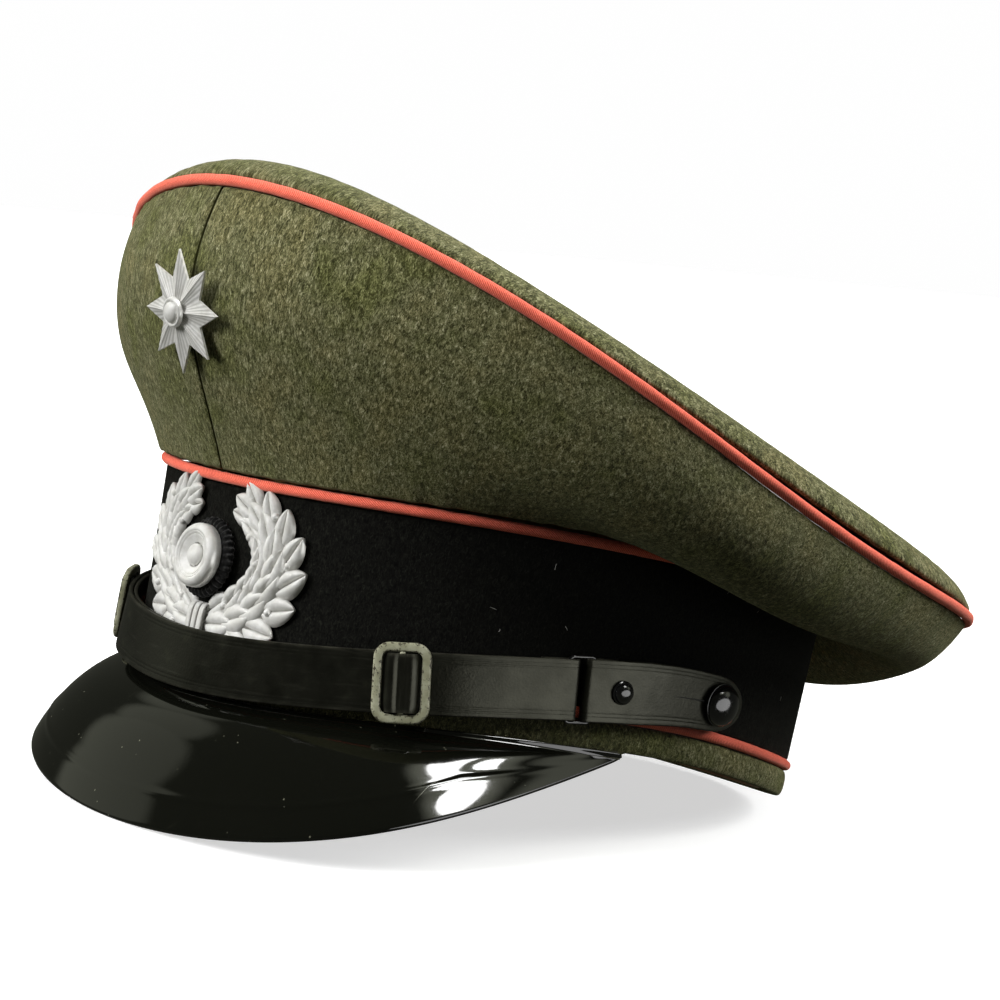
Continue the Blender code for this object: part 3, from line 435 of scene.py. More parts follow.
def grid_normals(grid, wrap_columns=False):
    """Unit normals of a grid of points, turned away from the inside of the cap."""
    padded = np.concatenate([grid[:, -1:], grid, grid[:, :1]], axis=1) if wrap_columns else grid
    down = np.gradient(padded, axis=0)
    along = np.gradient(padded, axis=1)
    normal = unit(np.cross(along, down))
    if wrap_columns:
        normal = normal[:, 1:-1]
    outwards = np.sum(normal * (grid - INSIDE))
    return normal if outwards > 0 else -normal


def round_edge(middle, normal, ahead, radius):
    """Rows round the edge of a sheet, from its outer face to its inner face."""
    turns = np.linspace(0, math.pi, EDGE_STEPS + 1)[1:-1]
    return [middle + (normal * math.cos(turn) + ahead * math.sin(turn)) * radius for turn in turns]


def shell_rows(face, normal, thickness):
    """A closed section round a sheet: outer face, round edge, inner face and round edge."""
    radius = thickness / 2
    middle = face - normal * radius
    rows = list(face)
    rows += round_edge(middle[-1], normal[-1], unit(face[-1] - face[-2]), radius)
    rows += list((face - normal * thickness)[::-1])
    rows += round_edge(middle[0], normal[0], unit(face[0] - face[1]), radius)[::-1]
    return np.array(rows)


def disc_rows(face, normal, thickness):
    """A closed dish from its outer face: the inner face, the round edge and the outer face."""
    half = thickness / 2
    edge = round_edge(face[0] - normal[0] * half, normal[0], unit(face[0] - face[1]), half)
    return np.array(list((face - normal * thickness)[::-1]) + edge[::-1] + list(face))


def steps_along(grid, axis, wrap):
    """The running length along one axis of a grid, averaged over the other."""
    points = np.concatenate([grid, np.take(grid, [0], axis=axis)], axis=axis) if wrap else grid
    lengths = np.linalg.norm(np.diff(points, axis=axis), axis=-1).mean(axis=1 - axis)
    return np.concatenate([[0.0], np.cumsum(lengths)])


def grid_faces(rows, columns, wrap_rows):
    """Quads as row and column indices, before wrapping."""
    row = np.arange(rows if wrap_rows else rows - 1)
    r, c = [part.ravel() for part in np.meshgrid(row, np.arange(columns), indexing="ij")]
    return np.stack([r, r, r + 1, r + 1], 1), np.stack([c, c + 1, c + 1, c], 1)


def mesh_of(name, grid, wrap_rows=False, caps=False, uv=None, marks=None):
    """A mesh through a grid of band-frame points closed round its columns; its UVs are in metres."""
    rows, columns = grid.shape[:2]
    r, c = grid_faces(rows, columns, wrap_rows)
    quads = (r % rows) * columns + (c % columns)
    faces = quads.tolist()
    if caps:
        faces.append(list(range(columns)))
        faces.append(list(range((rows - 1) * columns, rows * columns))[::-1])
    mesh = bpy.data.meshes.new(name)
    mesh.from_pydata(moved(grid.reshape(-1, 3), REST).tolist(), [], faces)
    if uv is None:
        u = steps_along(grid, 1, True)
        v = steps_along(grid, 0, wrap_rows)
        corners = np.stack([u[c], v[r]], -1).reshape(-1, 2)
    else:
        flat = uv.reshape(-1, 2)
        corners = flat[quads].reshape(-1, 2)
    loops = np.zeros((len(mesh.loops), 2))
    loops[:len(corners)] = corners
    layer = mesh.uv_layers.new(name="metres")
    layer.data.foreach_set("uv", loops.astype(np.float32).ravel())
    for mark, values in (marks or {}).items():
        attribute = mesh.attributes.new(mark, "FLOAT", "POINT")
        attribute.data.foreach_set("value", values.astype(np.float32).ravel())
    return mesh


def facing_out(mesh):
    """Turns the faces of a closed body outwards."""
    body = bmesh.new()
    body.from_mesh(mesh)
    bmesh.ops.recalc_face_normals(body, faces=body.faces)
    body.to_mesh(mesh)
    body.free()


def add(name, meshes, finish, body="cap", nodes=(), sharp=None):
    """Makes one piece from one or more meshes, gives it its finish and hangs it on its body."""
    meshes = meshes if isinstance(meshes, list) else [meshes]
    whole = meshes[0]
    if len(meshes) > 1:
        joined = bmesh.new()
        for mesh in meshes:
            joined.from_mesh(mesh)
        whole = bpy.data.meshes.new(name)
        joined.to_mesh(whole)
        joined.free()
        for mesh in meshes:
            bpy.data.meshes.remove(mesh)
    facing_out(whole)
    whole.shade_smooth()
    if sharp:
        whole.set_sharp_from_angle(angle=math.radians(sharp))
    piece = bpy.data.objects.new(name, whole)
    bpy.context.scene.collection.objects.link(piece)
    finishes = finish if isinstance(finish, list) else [finish]
    for item in finishes:
        whole.materials.append(item)
    if body:
        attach(piece, body)
    if nodes:
        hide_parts(*nodes)
    return piece


def turned(name, profile, matrix, steps):
    """A turned body about Z from a profile of radius and height, top to bottom."""
    turns = np.linspace(0, 2 * math.pi, steps, endpoint=False)
    profile = np.array(profile)
    radius = np.maximum(profile[:, 0], 0.02 * MM)[:, None]
    grid = join(radius * np.cos(turns), radius * np.sin(turns), profile[:, 1][:, None])
    return mesh_of(name, moved(grid, matrix), caps=True)


def tube(name, path, across, out, radius, sides, wrap=True):
    """A round tube along a path; across and out are unit vectors square to it."""
    turns = np.linspace(0, 2 * math.pi, sides, endpoint=False)
    radius = np.broadcast_to(radius, path.shape[:1])[:, None, None]
    ring = (across[:, None] * np.sin(turns)[None, :, None]
            + out[:, None] * np.cos(turns)[None, :, None]) * radius
    return mesh_of(name, path[:, None] + ring, wrap_rows=wrap, caps=not wrap)


def thread(name, path, normal, radius, sides):
    """An open tube along a short path on the band."""
    along = unit(np.gradient(path, axis=0))
    return tube(name, path, unit(np.cross(along, normal)), normal, radius, sides, wrap=False)


def sphere(name, centre, radius):
    """A round body at a band-frame place, cut flat just short of its poles."""
    turns = np.linspace(0, 2 * math.pi, SPHERE_STEPS, endpoint=False)
    rises = np.linspace(0.03, math.pi - 0.03, SPHERE_STEPS // 2 + 2)[:, None]
    grid = join(np.sin(rises) * np.cos(turns), np.sin(rises) * np.sin(turns), np.cos(rises))
    return mesh_of(name, grid * radius + centre, caps=True)


def crowded(count, start, end, crowding):
    """Values from start to end that lie closer together at both ends."""
    share = np.linspace(0, 1, count)
    return start + (end - start) * (share - crowding * np.sin(2 * math.pi * share) / (2 * math.pi))


def ripple(angle, waves):
    """A sum of waves round the cap: each has a count, a size and a phase."""
    return sum(size * np.sin(count * angle + phase) for count, size, phase in waves)


# ---------------------------------------------------------------- node materials

class Finish:
    """A node material under construction."""

    def __init__(self, name, colour, roughness, metallic=0.0, **uniform):
        self.material = bpy.data.materials.new(name)
        self.material["slot"] = name
        self.material.use_nodes = True
        self.tree = self.material.node_tree
        self.tree.nodes.clear()
        self.shader = self.tree.nodes.new("ShaderNodeBsdfPrincipled")
        output = self.tree.nodes.new("ShaderNodeOutputMaterial")
        self.tree.links.new(self.shader.outputs["BSDF"], output.inputs["Surface"])
        self.shader.inputs["Base Color"].default_value = (*colour, 1.0)
        self.shader.inputs["Roughness"].default_value = roughness
        self.shader.inputs["Metallic"].default_value = metallic
        for socket, value in uniform.items():
            self.shader.inputs[socket.replace("_", " ")].default_value = value

    def put(self, socket, value):
        """Links an output into a socket, or sets a plain value."""
        if isinstance(value, bpy.types.NodeSocket):
            self.tree.links.new(value, socket)
        else:
            socket.default_value = value

    def node(self, kind, inputs, **settings):
        made = self.tree.nodes.new(kind)
        for name, value in settings.items():
            setattr(made, name, value)
        for key, value in inputs.items():
            self.put(made.inputs[key], value)
        return made

    def shade(self, **links):
        """Links outputs into the shader's sockets."""
        for socket, value in links.items():
            self.put(self.shader.inputs[socket.replace("_", " ")], value)
        return self.material

    def place(self, kind, scale=(1.0, 1.0, 1.0), turn=0.0):
        """Object or UV coordinates, in metres, scaled and turned."""
        coordinates = self.tree.nodes.new("ShaderNodeTexCoord").outputs[kind]
        mapping = self.node("ShaderNodeMapping", {"Vector": coordinates, "Scale": scale})
        mapping.inputs["Rotation"].default_value = (0.0, 0.0, math.radians(turn))
        return mapping.outputs["Vector"]

    def noise(self, place, scale, detail=2.0, roughness=0.5, distortion=0.0):
        made = self.node("ShaderNodeTexNoise", {
            "Vector": place, "Scale": scale, "Detail": detail,
            "Roughness": roughness, "Distortion": distortion})
        return made.outputs["Fac"]

    def waves(self, place, scale, direction="X", distortion=0.0, detail=0.0):
        made = self.node("ShaderNodeTexWave", {
            "Vector": place, "Scale": scale, "Distortion": distortion, "Detail": detail},
            wave_type="BANDS", bands_direction=direction, wave_profile="SIN")
        return made.outputs["Fac"]

    def cells(self, place, scale):
        made = self.node("ShaderNodeTexVoronoi", {"Vector": place, "Scale": scale}, feature="F1")
        return made.outputs["Distance"]

    def mark(self, name):
        return self.node("ShaderNodeAttribute", {}, attribute_name=name).outputs["Fac"]

    def maths(self, operation, first, second=0.0):
        made = self.tree.nodes.new("ShaderNodeMath")
        made.operation = operation
        self.put(made.inputs[0], first)
        self.put(made.inputs[1], second)
        return made.outputs[0]

    def between(self, value, low, high, start=0.0, end=1.0):
        """Carries a value from the range low to high into start to end, and holds it there."""
        made = self.node("ShaderNodeMapRange", {
            "Value": value, "From Min": low, "From Max": high, "To Min": start, "To Max": end},
            clamp=True)
        return made.outputs["Result"]

    def ramp(self, value, stops):
        """A colour ramp through (place, colour) stops."""
        made = self.node("ShaderNodeValToRGB", {"Fac": value})
        points = made.color_ramp.elements
        while len(points) < len(stops):
            points.new(0.5)
        for point, (spot, colour) in zip(points, stops):
            point.position = spot
            point.color = (*colour, 1.0)
        return made.outputs["Color"]

    def mix(self, share, first, second, blend="MIX"):
        made = self.tree.nodes.new("ShaderNodeMix")
        made.data_type = "RGBA"
        made.blend_type = blend
        self.put(made.inputs[0], share)
        for index, value in ((6, first), (7, second)):
            self.put(made.inputs[index], (*value, 1.0) if isinstance(value, tuple) else value)
        return made.outputs[2]

    def bump(self, height, distance, strength):
        made = self.node("ShaderNodeBump", {
            "Height": height, "Distance": distance, "Strength": strength})
        return made.outputs["Normal"]


def melton():
    """Milled wool: short olive, grey and near-black fibres with a slight nap."""
    f = Finish("field_grey_cloth", (0.07, 0.07, 0.04), 0.92, Sheen_Weight=0.12, Sheen_Roughness=0.5,
               Sheen_Tint=(0.75, 0.78, 0.5, 1.0), Specular_IOR_Level=0.12)
    fibres = f.noise(f.place("UV", (1.0, 0.42, 1.0)), 2100.0, 3.0, 0.66, 1.8)
    tufts = f.noise(f.place("UV", (1.0, 0.6, 1.0), 20.0), 900.0, 2.0, 0.6, 0.8)
    clouds = f.noise(f.place("Object"), 62.0, 3.0, 0.55)
    grain = f.maths("ADD", f.maths("MULTIPLY", fibres, 0.66), f.maths("MULTIPLY", tufts, 0.34))
    tone = f.ramp(grain, [
        (0.32, (0.005, 0.005, 0.0018)), (0.43, (0.030, 0.030, 0.011)),
        (0.52, (0.103, 0.102, 0.046)), (0.61, (0.245, 0.238, 0.136)), (0.70, (0.50, 0.48, 0.35))])
    hue = f.ramp(clouds, [(0.34, (0.80, 0.84, 0.62)), (0.5, (1.0, 1.0, 1.0)),
                          (0.66, (1.12, 1.06, 0.98))])
    colour = f.mix(1.0, tone, hue, "MULTIPLY")
    return f.shade(Base_Color=colour, Normal=f.bump(grain, 0.5 * MM, 0.75))


def black_wool():
    """The band's black cloth, with a few pale specks of lint."""
    f = Finish("black_cloth", (0.005, 0.005, 0.005), 0.95, Sheen_Weight=0.05, Sheen_Roughness=0.5,
               Sheen_Tint=(0.5, 0.5, 0.42, 1.0), Specular_IOR_Level=0.08)
    fibres = f.noise(f.place("UV", (1.0, 0.5, 1.0)), 1500.0, 3.0, 0.6, 1.4)
    tone = f.ramp(fibres, [(0.35, (0.0015, 0.0015, 0.0015)), (0.55, (0.0055, 0.0056, 0.0048)),
                           (0.75, (0.016, 0.017, 0.013))])
    return f.shade(Base_Color=tone, Normal=f.bump(fibres, 0.4 * MM, 0.7))


def coral():
    """Wool cloth over a cord: a fine diagonal twill."""
    f = Finish("coral_cord", (0.75, 0.13, 0.075), 0.85, Sheen_Weight=0.35, Sheen_Roughness=0.45,
               Sheen_Tint=(1.0, 0.55, 0.45, 1.0), Specular_IOR_Level=0.2)
    twill = f.waves(f.place("UV", (1.0, 1.0, 1.0), 38.0), 640.0, "X", 1.4, 2.0)
    fibres = f.noise(f.place("UV", (1.0, 0.6, 1.0)), 2400.0, 3.0, 0.6, 1.0)
    dirt = f.noise(f.place("Object"), 90.0, 3.0, 0.6)
    height = f.maths("ADD", f.maths("MULTIPLY", twill, 0.4), f.maths("MULTIPLY", fibres, 0.6))
    tone = f.ramp(height, [(0.25, (0.42, 0.052, 0.03)), (0.5, (0.74, 0.125, 0.078)),
                           (0.78, (0.93, 0.24, 0.165))])
    colour = f.mix(f.between(dirt, 0.56, 0.72, 0.0, 0.35), tone, (0.40, 0.07, 0.05))
    return f.shade(Base_Color=colour, Normal=f.bump(height, 0.22 * MM, 0.6))


def lacquer():
    """The top of the peak: black lacquer with a few hair-fine scratches and specks of dust."""
    f = Finish("black_lacquer", (0.0025, 0.0027, 0.0018), 0.07, Coat_Weight=0.35, Coat_Roughness=0.04,
               Specular_IOR_Level=0.5)
    peel = f.noise(f.place("Object"), 210.0, 2.0, 0.5)
    curves = f.noise(f.place("Object"), 21.0, 1.0, 0.4, 0.5)
    hair = f.between(f.maths("ABSOLUTE", f.maths("SUBTRACT", curves, 0.5)), 0.0022, 0.0006)
    broken = f.between(f.noise(f.place("Object"), 34.0, 2.0), 0.56, 0.63)
    scratch = f.maths("MULTIPLY", f.maths("MULTIPLY", hair, broken), 0.4)
    dust = f.between(f.cells(f.place("Object"), 260.0), 0.085, 0.03)
    sparse = f.between(f.noise(f.place("Object"), 48.0, 2.0), 0.53, 0.6)
    specks = f.maths("MULTIPLY", f.maths("MULTIPLY", dust, sparse), 0.7)
    both = f.maths("MAXIMUM", scratch, specks)
    colour = f.mix(both, (0.0025, 0.0027, 0.0018), (0.17, 0.17, 0.12))
    rough = f.maths("ADD", f.between(peel, 0.3, 0.7, 0.05, 0.10), f.maths("MULTIPLY", both, 0.5))
    grit = f.noise(f.place("Object"), 1300.0, 2.0, 0.5)
    surface = f.maths("ADD", peel, f.maths("MULTIPLY", grit, 0.22))
    return f.shade(Base_Color=colour, Roughness=rough, Normal=f.bump(surface, 0.04 * MM, 0.4))


def underside():
    """The unlacquered fibre under the peak, pressed with a fine pebble grain."""
    f = Finish("peak_underside", (0.05, 0.05, 0.028), 0.7, Specular_IOR_Level=0.3)
    pebble = f.cells(f.place("Object"), 900.0)
    mottle = f.noise(f.place("Object"), 120.0, 3.0)
    colour = f.ramp(mottle, [(0.3, (0.035, 0.036, 0.02)), (0.7, (0.075, 0.075, 0.045))])
    return f.shade(Base_Color=colour, Normal=f.bump(pebble, 0.2 * MM, 0.5))


def leather():
    """Smooth black strap leather: fine grain, long scuffs and worn edges."""
    f = Finish("black_leather", (0.005, 0.005, 0.0045), 0.42, Specular_IOR_Level=0.34, Coat_Weight=0.06,
               Coat_Roughness=0.25, Specular_Tint=(1.0, 1.0, 0.76, 1.0))
    grain = f.cells(f.place("Object"), 1500.0)
    creases = f.noise(f.place("UV", (1.0, 0.5, 1.0)), 520.0, 3.0, 0.6, 0.6)
    streaks = f.noise(f.place("UV", (1.0, 0.07, 1.0)), 900.0, 3.0, 0.6)
    wear = f.noise(f.place("Object"), 150.0, 3.0, 0.6)
    edge = f.maths("MULTIPLY", f.mark("edge"), f.between(wear, 0.35, 0.65, 0.1, 1.0))
    base = f.ramp(wear, [(0.3, (0.0028, 0.0028, 0.0022)), (0.6, (0.0055, 0.0056, 0.0043)),
                         (0.8, (0.0120, 0.0125, 0.0085))])
    scuffed = f.mix(f.between(streaks, 0.58, 0.78, 0.0, 0.35), base, (0.03, 0.03, 0.023))
    colour = f.mix(f.maths("MULTIPLY", edge, 0.4), scuffed, (0.05, 0.048, 0.036))
    rough = f.maths("ADD", f.between(wear, 0.3, 0.7, 0.30, 0.46), f.maths("MULTIPLY", edge, 0.15))
    height = f.maths("ADD", f.maths("MULTIPLY", grain, 0.45), creases)
    return f.shade(Base_Color=colour, Roughness=rough, Normal=f.bump(height, 0.11 * MM, 0.55))


def tan_leather():
    """The sweatband: thin tan leather, darker where it has been worn."""
    f = Finish("tan_leather", (0.28, 0.13, 0.055), 0.5, Specular_IOR_Level=0.4)
    grain = f.cells(f.place("Object"), 1100.0)
    stains = f.noise(f.place("Object"), 36.0, 4.0, 0.6)
    colour = f.ramp(stains, [(0.3, (0.17, 0.075, 0.03)), (0.55, (0.30, 0.145, 0.062)),
                             (0.8, (0.38, 0.20, 0.095))])
    return f.shade(Base_Color=colour, Roughness=f.between(stains, 0.3, 0.7, 0.42, 0.6),
                   Normal=f.bump(grain, 0.14 * MM, 0.5))


def worn_paint():
    """Field-grey paint on the buckles, chipped to dark metal along the edges."""
    f = Finish("grey_paint", (0.2, 0.2, 0.15), 0.42, 0.15, Specular_IOR_Level=0.5)
    chips = f.noise(f.place("Object"), 1100.0, 4.0, 0.65)
    tone = f.noise(f.place("Object"), 300.0, 3.0)
    worn = f.between(f.maths("ADD", chips, f.maths("MULTIPLY", f.mark("edge"), 0.16)), 0.60, 0.66)
    paint = f.ramp(tone, [(0.3, (0.20, 0.20, 0.125)), (0.5, (0.30, 0.30, 0.205)),
                          (0.7, (0.40, 0.40, 0.29))])
    colour = f.mix(worn, paint, (0.055, 0.047, 0.032))
    return f.shade(Base_Color=colour, Roughness=f.between(worn, 0.0, 1.0, 0.36, 0.6),
                   Normal=f.bump(chips, 0.12 * MM, 0.35))


def black_enamel():
    """Glossy black paint on the studs, buttons and wire loops."""
    f = Finish("black_paint", (0.003, 0.003, 0.0035), 0.12, 0.0, Coat_Weight=0.5, Coat_Roughness=0.08)
    scratches = f.noise(f.place("Object", (1.0, 1.0, 0.2)), 1600.0, 3.0, 0.6, 2.0)
    rub = f.between(scratches, 0.62, 0.72)
    colour = f.mix(rub, (0.003, 0.003, 0.0035), (0.03, 0.03, 0.028))
    return f.shade(Base_Color=colour, Roughness=f.between(scratches, 0.4, 0.75, 0.08, 0.3),
                   Normal=f.bump(scratches, 0.03 * MM, 0.3))


def silver():
    """Frosted silver-white alloy, with painted shade: dull grey where a piece marks its hollows."""
    f = Finish("silver_metal", (0.88, 0.87, 0.84), 0.32, 0.42, Specular_IOR_Level=0.7)
    frost = f.noise(f.place("Object"), 2600.0, 3.0, 0.6)
    smoke = f.noise(f.place("Object"), 300.0, 3.0, 0.6)
    painted_shade = f.mark("painted_shade")
    tone = f.ramp(smoke, [(0.3, (0.70, 0.69, 0.65)), (0.6, (0.86, 0.855, 0.83)),
                          (0.8, (0.92, 0.915, 0.90))])
    # painted shade: the marked hollows are mixed towards dull grey
    colour = f.mix(f.maths("MULTIPLY", painted_shade, 0.8), tone, (0.20, 0.19, 0.165))
    return f.shade(Base_Color=colour, Roughness=f.between(frost, 0.3, 0.7, 0.28, 0.46),
                   Normal=f.bump(frost, 0.06 * MM, 0.35))


def steel():
    f = Finish("steel", (0.5, 0.5, 0.49), 0.35, 1.0)
    brushed = f.noise(f.place("Object", (1.0, 1.0, 0.15)), 2000.0, 3.0)
    return f.shade(Roughness=f.between(brushed, 0.3, 0.7, 0.25, 0.5),
                   Normal=f.bump(brushed, 0.03 * MM, 0.4))


def fibre_board():
    f = Finish("fibre", (0.16, 0.10, 0.06), 0.8)
    flecks = f.noise(f.place("Object", (1.0, 1.0, 0.4)), 700.0, 3.0, 0.6)
    colour = f.ramp(flecks, [(0.3, (0.10, 0.06, 0.035)), (0.7, (0.21, 0.135, 0.08))])
    return f.shade(Base_Color=colour, Normal=f.bump(flecks, 0.15 * MM, 0.4))


def satin():
    """Golden-brown rayon lining: a fine warp and a soft sheen."""
    f = Finish("satin_lining", (0.36, 0.20, 0.075), 0.38, Specular_IOR_Level=0.6, Sheen_Weight=0.3,
               Sheen_Tint=(1.0, 0.8, 0.5, 1.0))
    warp = f.waves(f.place("UV"), 1100.0, "X", 0.6, 1.0)
    slub = f.noise(f.place("UV", (1.0, 0.05, 1.0)), 400.0, 3.0)
    colour = f.ramp(slub, [(0.3, (0.28, 0.15, 0.05)), (0.7, (0.42, 0.245, 0.10))])
    height = f.maths("ADD", warp, slub)
    return f.shade(Base_Color=colour, Normal=f.bump(height, 0.06 * MM, 0.5))


def clear_sheet():
    """The yellowed celluloid sweat shield."""
    f = Finish("clear_sheet", (0.9, 0.84, 0.66), 0.1, Transmission_Weight=0.85, IOR=1.45)
    smears = f.noise(f.place("Object"), 90.0, 4.0, 0.6)
    return f.shade(Roughness=f.between(smears, 0.35, 0.7, 0.06, 0.28),
                   Normal=f.bump(smears, 0.1 * MM, 0.2))


def ribbed_cloth():
    """The rosette's dark woven backing."""
    f = Finish("dark_ribbed_cloth", (0.006, 0.006, 0.006), 0.8, Sheen_Weight=0.1, Specular_IOR_Level=0.2)
    knots = f.cells(f.place("Object"), 900.0)
    fibres = f.noise(f.place("Object"), 1800.0, 3.0)
    colour = f.ramp(knots, [(0.0, (0.028, 0.028, 0.026)), (0.5, (0.006, 0.006, 0.006)),
                            (0.9, (0.001, 0.001, 0.001))])
    height = f.maths("SUBTRACT", f.maths("MULTIPLY", fibres, 0.4), knots)
    return f.shade(Base_Color=colour, Normal=f.bump(height, 0.5 * MM, 0.8))


def lint_thread():
    f = Finish("lint", (0.55, 0.55, 0.5), 0.8)
    f.material["slot"] = "black_cloth"
    tone = f.noise(f.place("Object"), 500.0)
    return f.shade(Base_Color=f.ramp(tone, [(0.3, (0.3, 0.3, 0.27)), (0.7, (0.7, 0.7, 0.66))]))


def thread_and_slit_shade(slot, colour):
    """Twisted cotton thread; made black, it is also the painted shade inside the tab's slit."""
    f = Finish("thread_and_slit_shade_" + slot, colour, 0.7)
    f.material["slot"] = slot
    twist = f.waves(f.place("UV", (1.0, 1.0, 1.0), 45.0), 900.0)
    tone = f.mix(twist, tuple(c * 0.6 for c in colour), colour)
    return f.shade(Base_Color=tone, Normal=f.bump(twist, 0.1 * MM, 0.5))


# ---------------------------------------------------------------- crown

BROAD_WAVES = ((3, 0.55 * MM, 0.7), (5, 0.40 * MM, 2.1), (8, 0.22 * MM, 4.0))
PUCKERS = ((58, 0.10 * MM, 0.3), (73, 0.09 * MM, 1.9), (97, 0.07 * MM, 3.1), (131, 0.05 * MM, 5.2))
PUCKER_DEPTH = 7.0 * MM
SEAM_DIP = 0.5 * MM
SEAM_DIP_WIDTH = 0.8 * MM
SIDE_ROWS = 64
SIDE_COLUMNS = 400
RING_COLUMNS = 640
SOFTENING_ROUNDS = 14


def crown_side(finish, name, sign):
    """One half of the crown's side, from the centre front to the centre rear."""
    angle = crowded(SIDE_COLUMNS, SEAM_ANGLE, math.pi - SEAM_ANGLE, 0.88)[None, :]
    end = side_end_share(angle)
    share = crowded(SIDE_ROWS, 0.0, 1.0, 0.5)[:, None]
    face = side_point(angle * sign, share * end)
    normal = grid_normals(face)
    from_foot = np.linalg.norm(face - face[:1], axis=-1)
    from_head = np.linalg.norm(face - face[-1:], axis=-1)
    edges = np.exp(-from_foot / PUCKER_DEPTH) + np.exp(-from_head / PUCKER_DEPTH)
    middle = np.sin(math.pi * share)
    lift = ripple(angle * sign, PUCKERS) * edges
    lift = lift + ripple(angle * sign + share, BROAD_WAVES) * middle
    across = np.abs(face[..., 0])
    lift = lift - SEAM_DIP * np.exp(-(across / SEAM_DIP_WIDTH) ** 2)
    face = face + normal * lift[..., None]
    rows = shell_rows(face, grid_normals(face), CLOTH)
    mesh = mesh_of(name, rows.transpose(1, 0, 2), caps=True,
                   uv=side_uv(rows, angle * sign))
    return add(name, mesh, finish, nodes=[name])


def side_uv(rows, angle):
    """The cloth's own coordinates: round the cap and up its side."""
    up = steps_along(rows, 0, False)[:, None] + 0 * angle
    round_cap = (BAND_HALF_LENGTH + CROWN_HALF_LENGTH) / 2 * angle + 0 * up
    return np.stack([round_cap, up], -1).transpose(1, 0, 2)


def softened(grid, start, end):
    """A grid with the rows from start to end eased into one another."""
    for _ in range(SOFTENING_ROUNDS):
        grid[start:end] = (grid[start - 1:end - 1] + grid[start:end] * 2 + grid[start + 1:end + 1]) / 4
    return grid


def crown_top(finish):
    """The top panel: its edge rolls over the hoop, and its middle is a shallow saddle."""
    angle = np.linspace(0, 2 * math.pi, RING_COLUMNS, endpoint=False)[None, :]
    start = math.asin((CROWN_PIPING_RADIUS + CLOTH / 2) / min(ROLL_RISE))
    roll = roll_point(angle, np.linspace(start, math.pi / 2, 22)[:, None])
    flat = panel_point(angle, np.linspace(1.0, 0.01, 50)[1:, None])
    face = softened(np.concatenate([roll, flat]), 12, 26)
    normal = grid_normals(face, wrap_columns=True)
    from_edge = np.linalg.norm(face - face[:1], axis=-1)
    inner = np.clip(from_edge / (40 * MM), 0, 1)
    lift = ripple(angle, PUCKERS) * np.exp(-from_edge / PUCKER_DEPTH)
    radius = np.linalg.norm(face[..., :2] - [0.0, CROWN_SET_BACK], axis=-1)
    lift = lift + ripple(angle, ((2, 0.6 * MM, 1.0), (3, 0.5 * MM, 2.0))) * inner * radius / 0.1
    face = face + normal * lift[..., None]
    rows = disc_rows(face, grid_normals(face, wrap_columns=True), CLOTH)
    uv = rows[..., [0, 1]]
    mesh = mesh_of("crown_top_panel", rows, caps=True, uv=uv)
    return add("crown_top_panel", mesh, finish, nodes=["crown_top_panel"])


def ring_piping(finish, name, path_of, normal_of, radius, waves):
    angle = np.linspace(0, 2 * math.pi, RING_COLUMNS, endpoint=False)
    out = normal_of(angle)
    path = path_of(angle) + out * ripple(angle, waves)[:, None]
    along = unit(np.roll(path, -1, axis=0) - np.roll(path, 1, axis=0))
    across = unit(np.cross(along, out))
    thick = radius * (1 + ripple(angle, ((61, 0.012, 0.4), (89, 0.012, 1.3))))
    mesh = tube(name, path, across, np.cross(across, along), thick, 14)
    return add(name, mesh, finish, nodes=[name])


def make_crown(melton_cloth, cord):
    crown_side(melton_cloth, "crown_side_left", 1)
    crown_side(melton_cloth, "crown_side_right", -1)
    crown_top(melton_cloth)
    wobble = ((37, 0.06 * MM, 0.2), (53, 0.05 * MM, 1.0))
    ring_piping(cord, "crown_piping", crown_point, crown_normal, CROWN_PIPING_RADIUS, wobble)
    heights = {"band_piping_upper": (UPPER_PIPING_HEIGHT, UPPER_PIPING_GROWTH),
               "band_piping_lower": (LOWER_PIPING_HEIGHT, LOWER_PIPING_GROWTH)}
    for name, (height, growth) in heights.items():
        ring_piping(cord, name, lambda a, h=height, g=growth: band_point(a, h, g), band_normal,
                    PIPING_RADIUS, wobble)


# ---------------------------------------------------------------- band and rim

REAR_SEAM_WIDTH = 1.1 * MM
BAND_ROWS = 26
STITCH_RADIUS = 0.22 * MM
LINT_COUNT = 10
LINT_RADIUS = 0.045 * MM
TRIM_TUCK = 0.6 * MM
TRIM_SEAM_DIP = 0.5 * MM
TRIM_BOW = 0.35 * MM
TRIM_WAVES = ((9, 0.18 * MM, 0.5), (14, 0.14 * MM, 2.0), (83, 0.06 * MM, 1.0))


def ring_angles():
    """Angles round the band, closer together at the rear, where its seam is."""
    share = np.arange(RING_COLUMNS) / RING_COLUMNS
    return 2 * math.pi * (share + 0.85 * np.sin(2 * math.pi * share) / (2 * math.pi))


def rear_dip(angle):
    """A narrow valley at the centre rear."""
    away = (np.abs(angle) % (2 * math.pi) - math.pi) * BAND_HALF_LENGTH
    return np.exp(-(away / REAR_SEAM_WIDTH) ** 2)


def cloth_ring(finish, name, low, high, growth, thickness, waves, seam):
    angle = ring_angles()[None, :]
    height = np.linspace(low, high, BAND_ROWS)[:, None]
    share = np.linspace(0, 1, BAND_ROWS)[:, None]
    lift = ripple(angle + 0.3 * share, waves) * np.sin(math.pi * share)
    edge = np.minimum(share, 1 - share) * (high - low)
    lift = lift + ripple(angle, PUCKERS) * 0.6 * np.exp(-edge / (4 * MM))
    lift = lift - seam * rear_dip(angle)
    face = band_point(angle, height, growth) + band_normal(angle) * lift[..., None]
    rings = shell_rows(face, grid_normals(face, wrap_columns=True), thickness)
    mesh = mesh_of(name, rings, wrap_rows=True)
    return add(name, mesh, finish, nodes=[name])


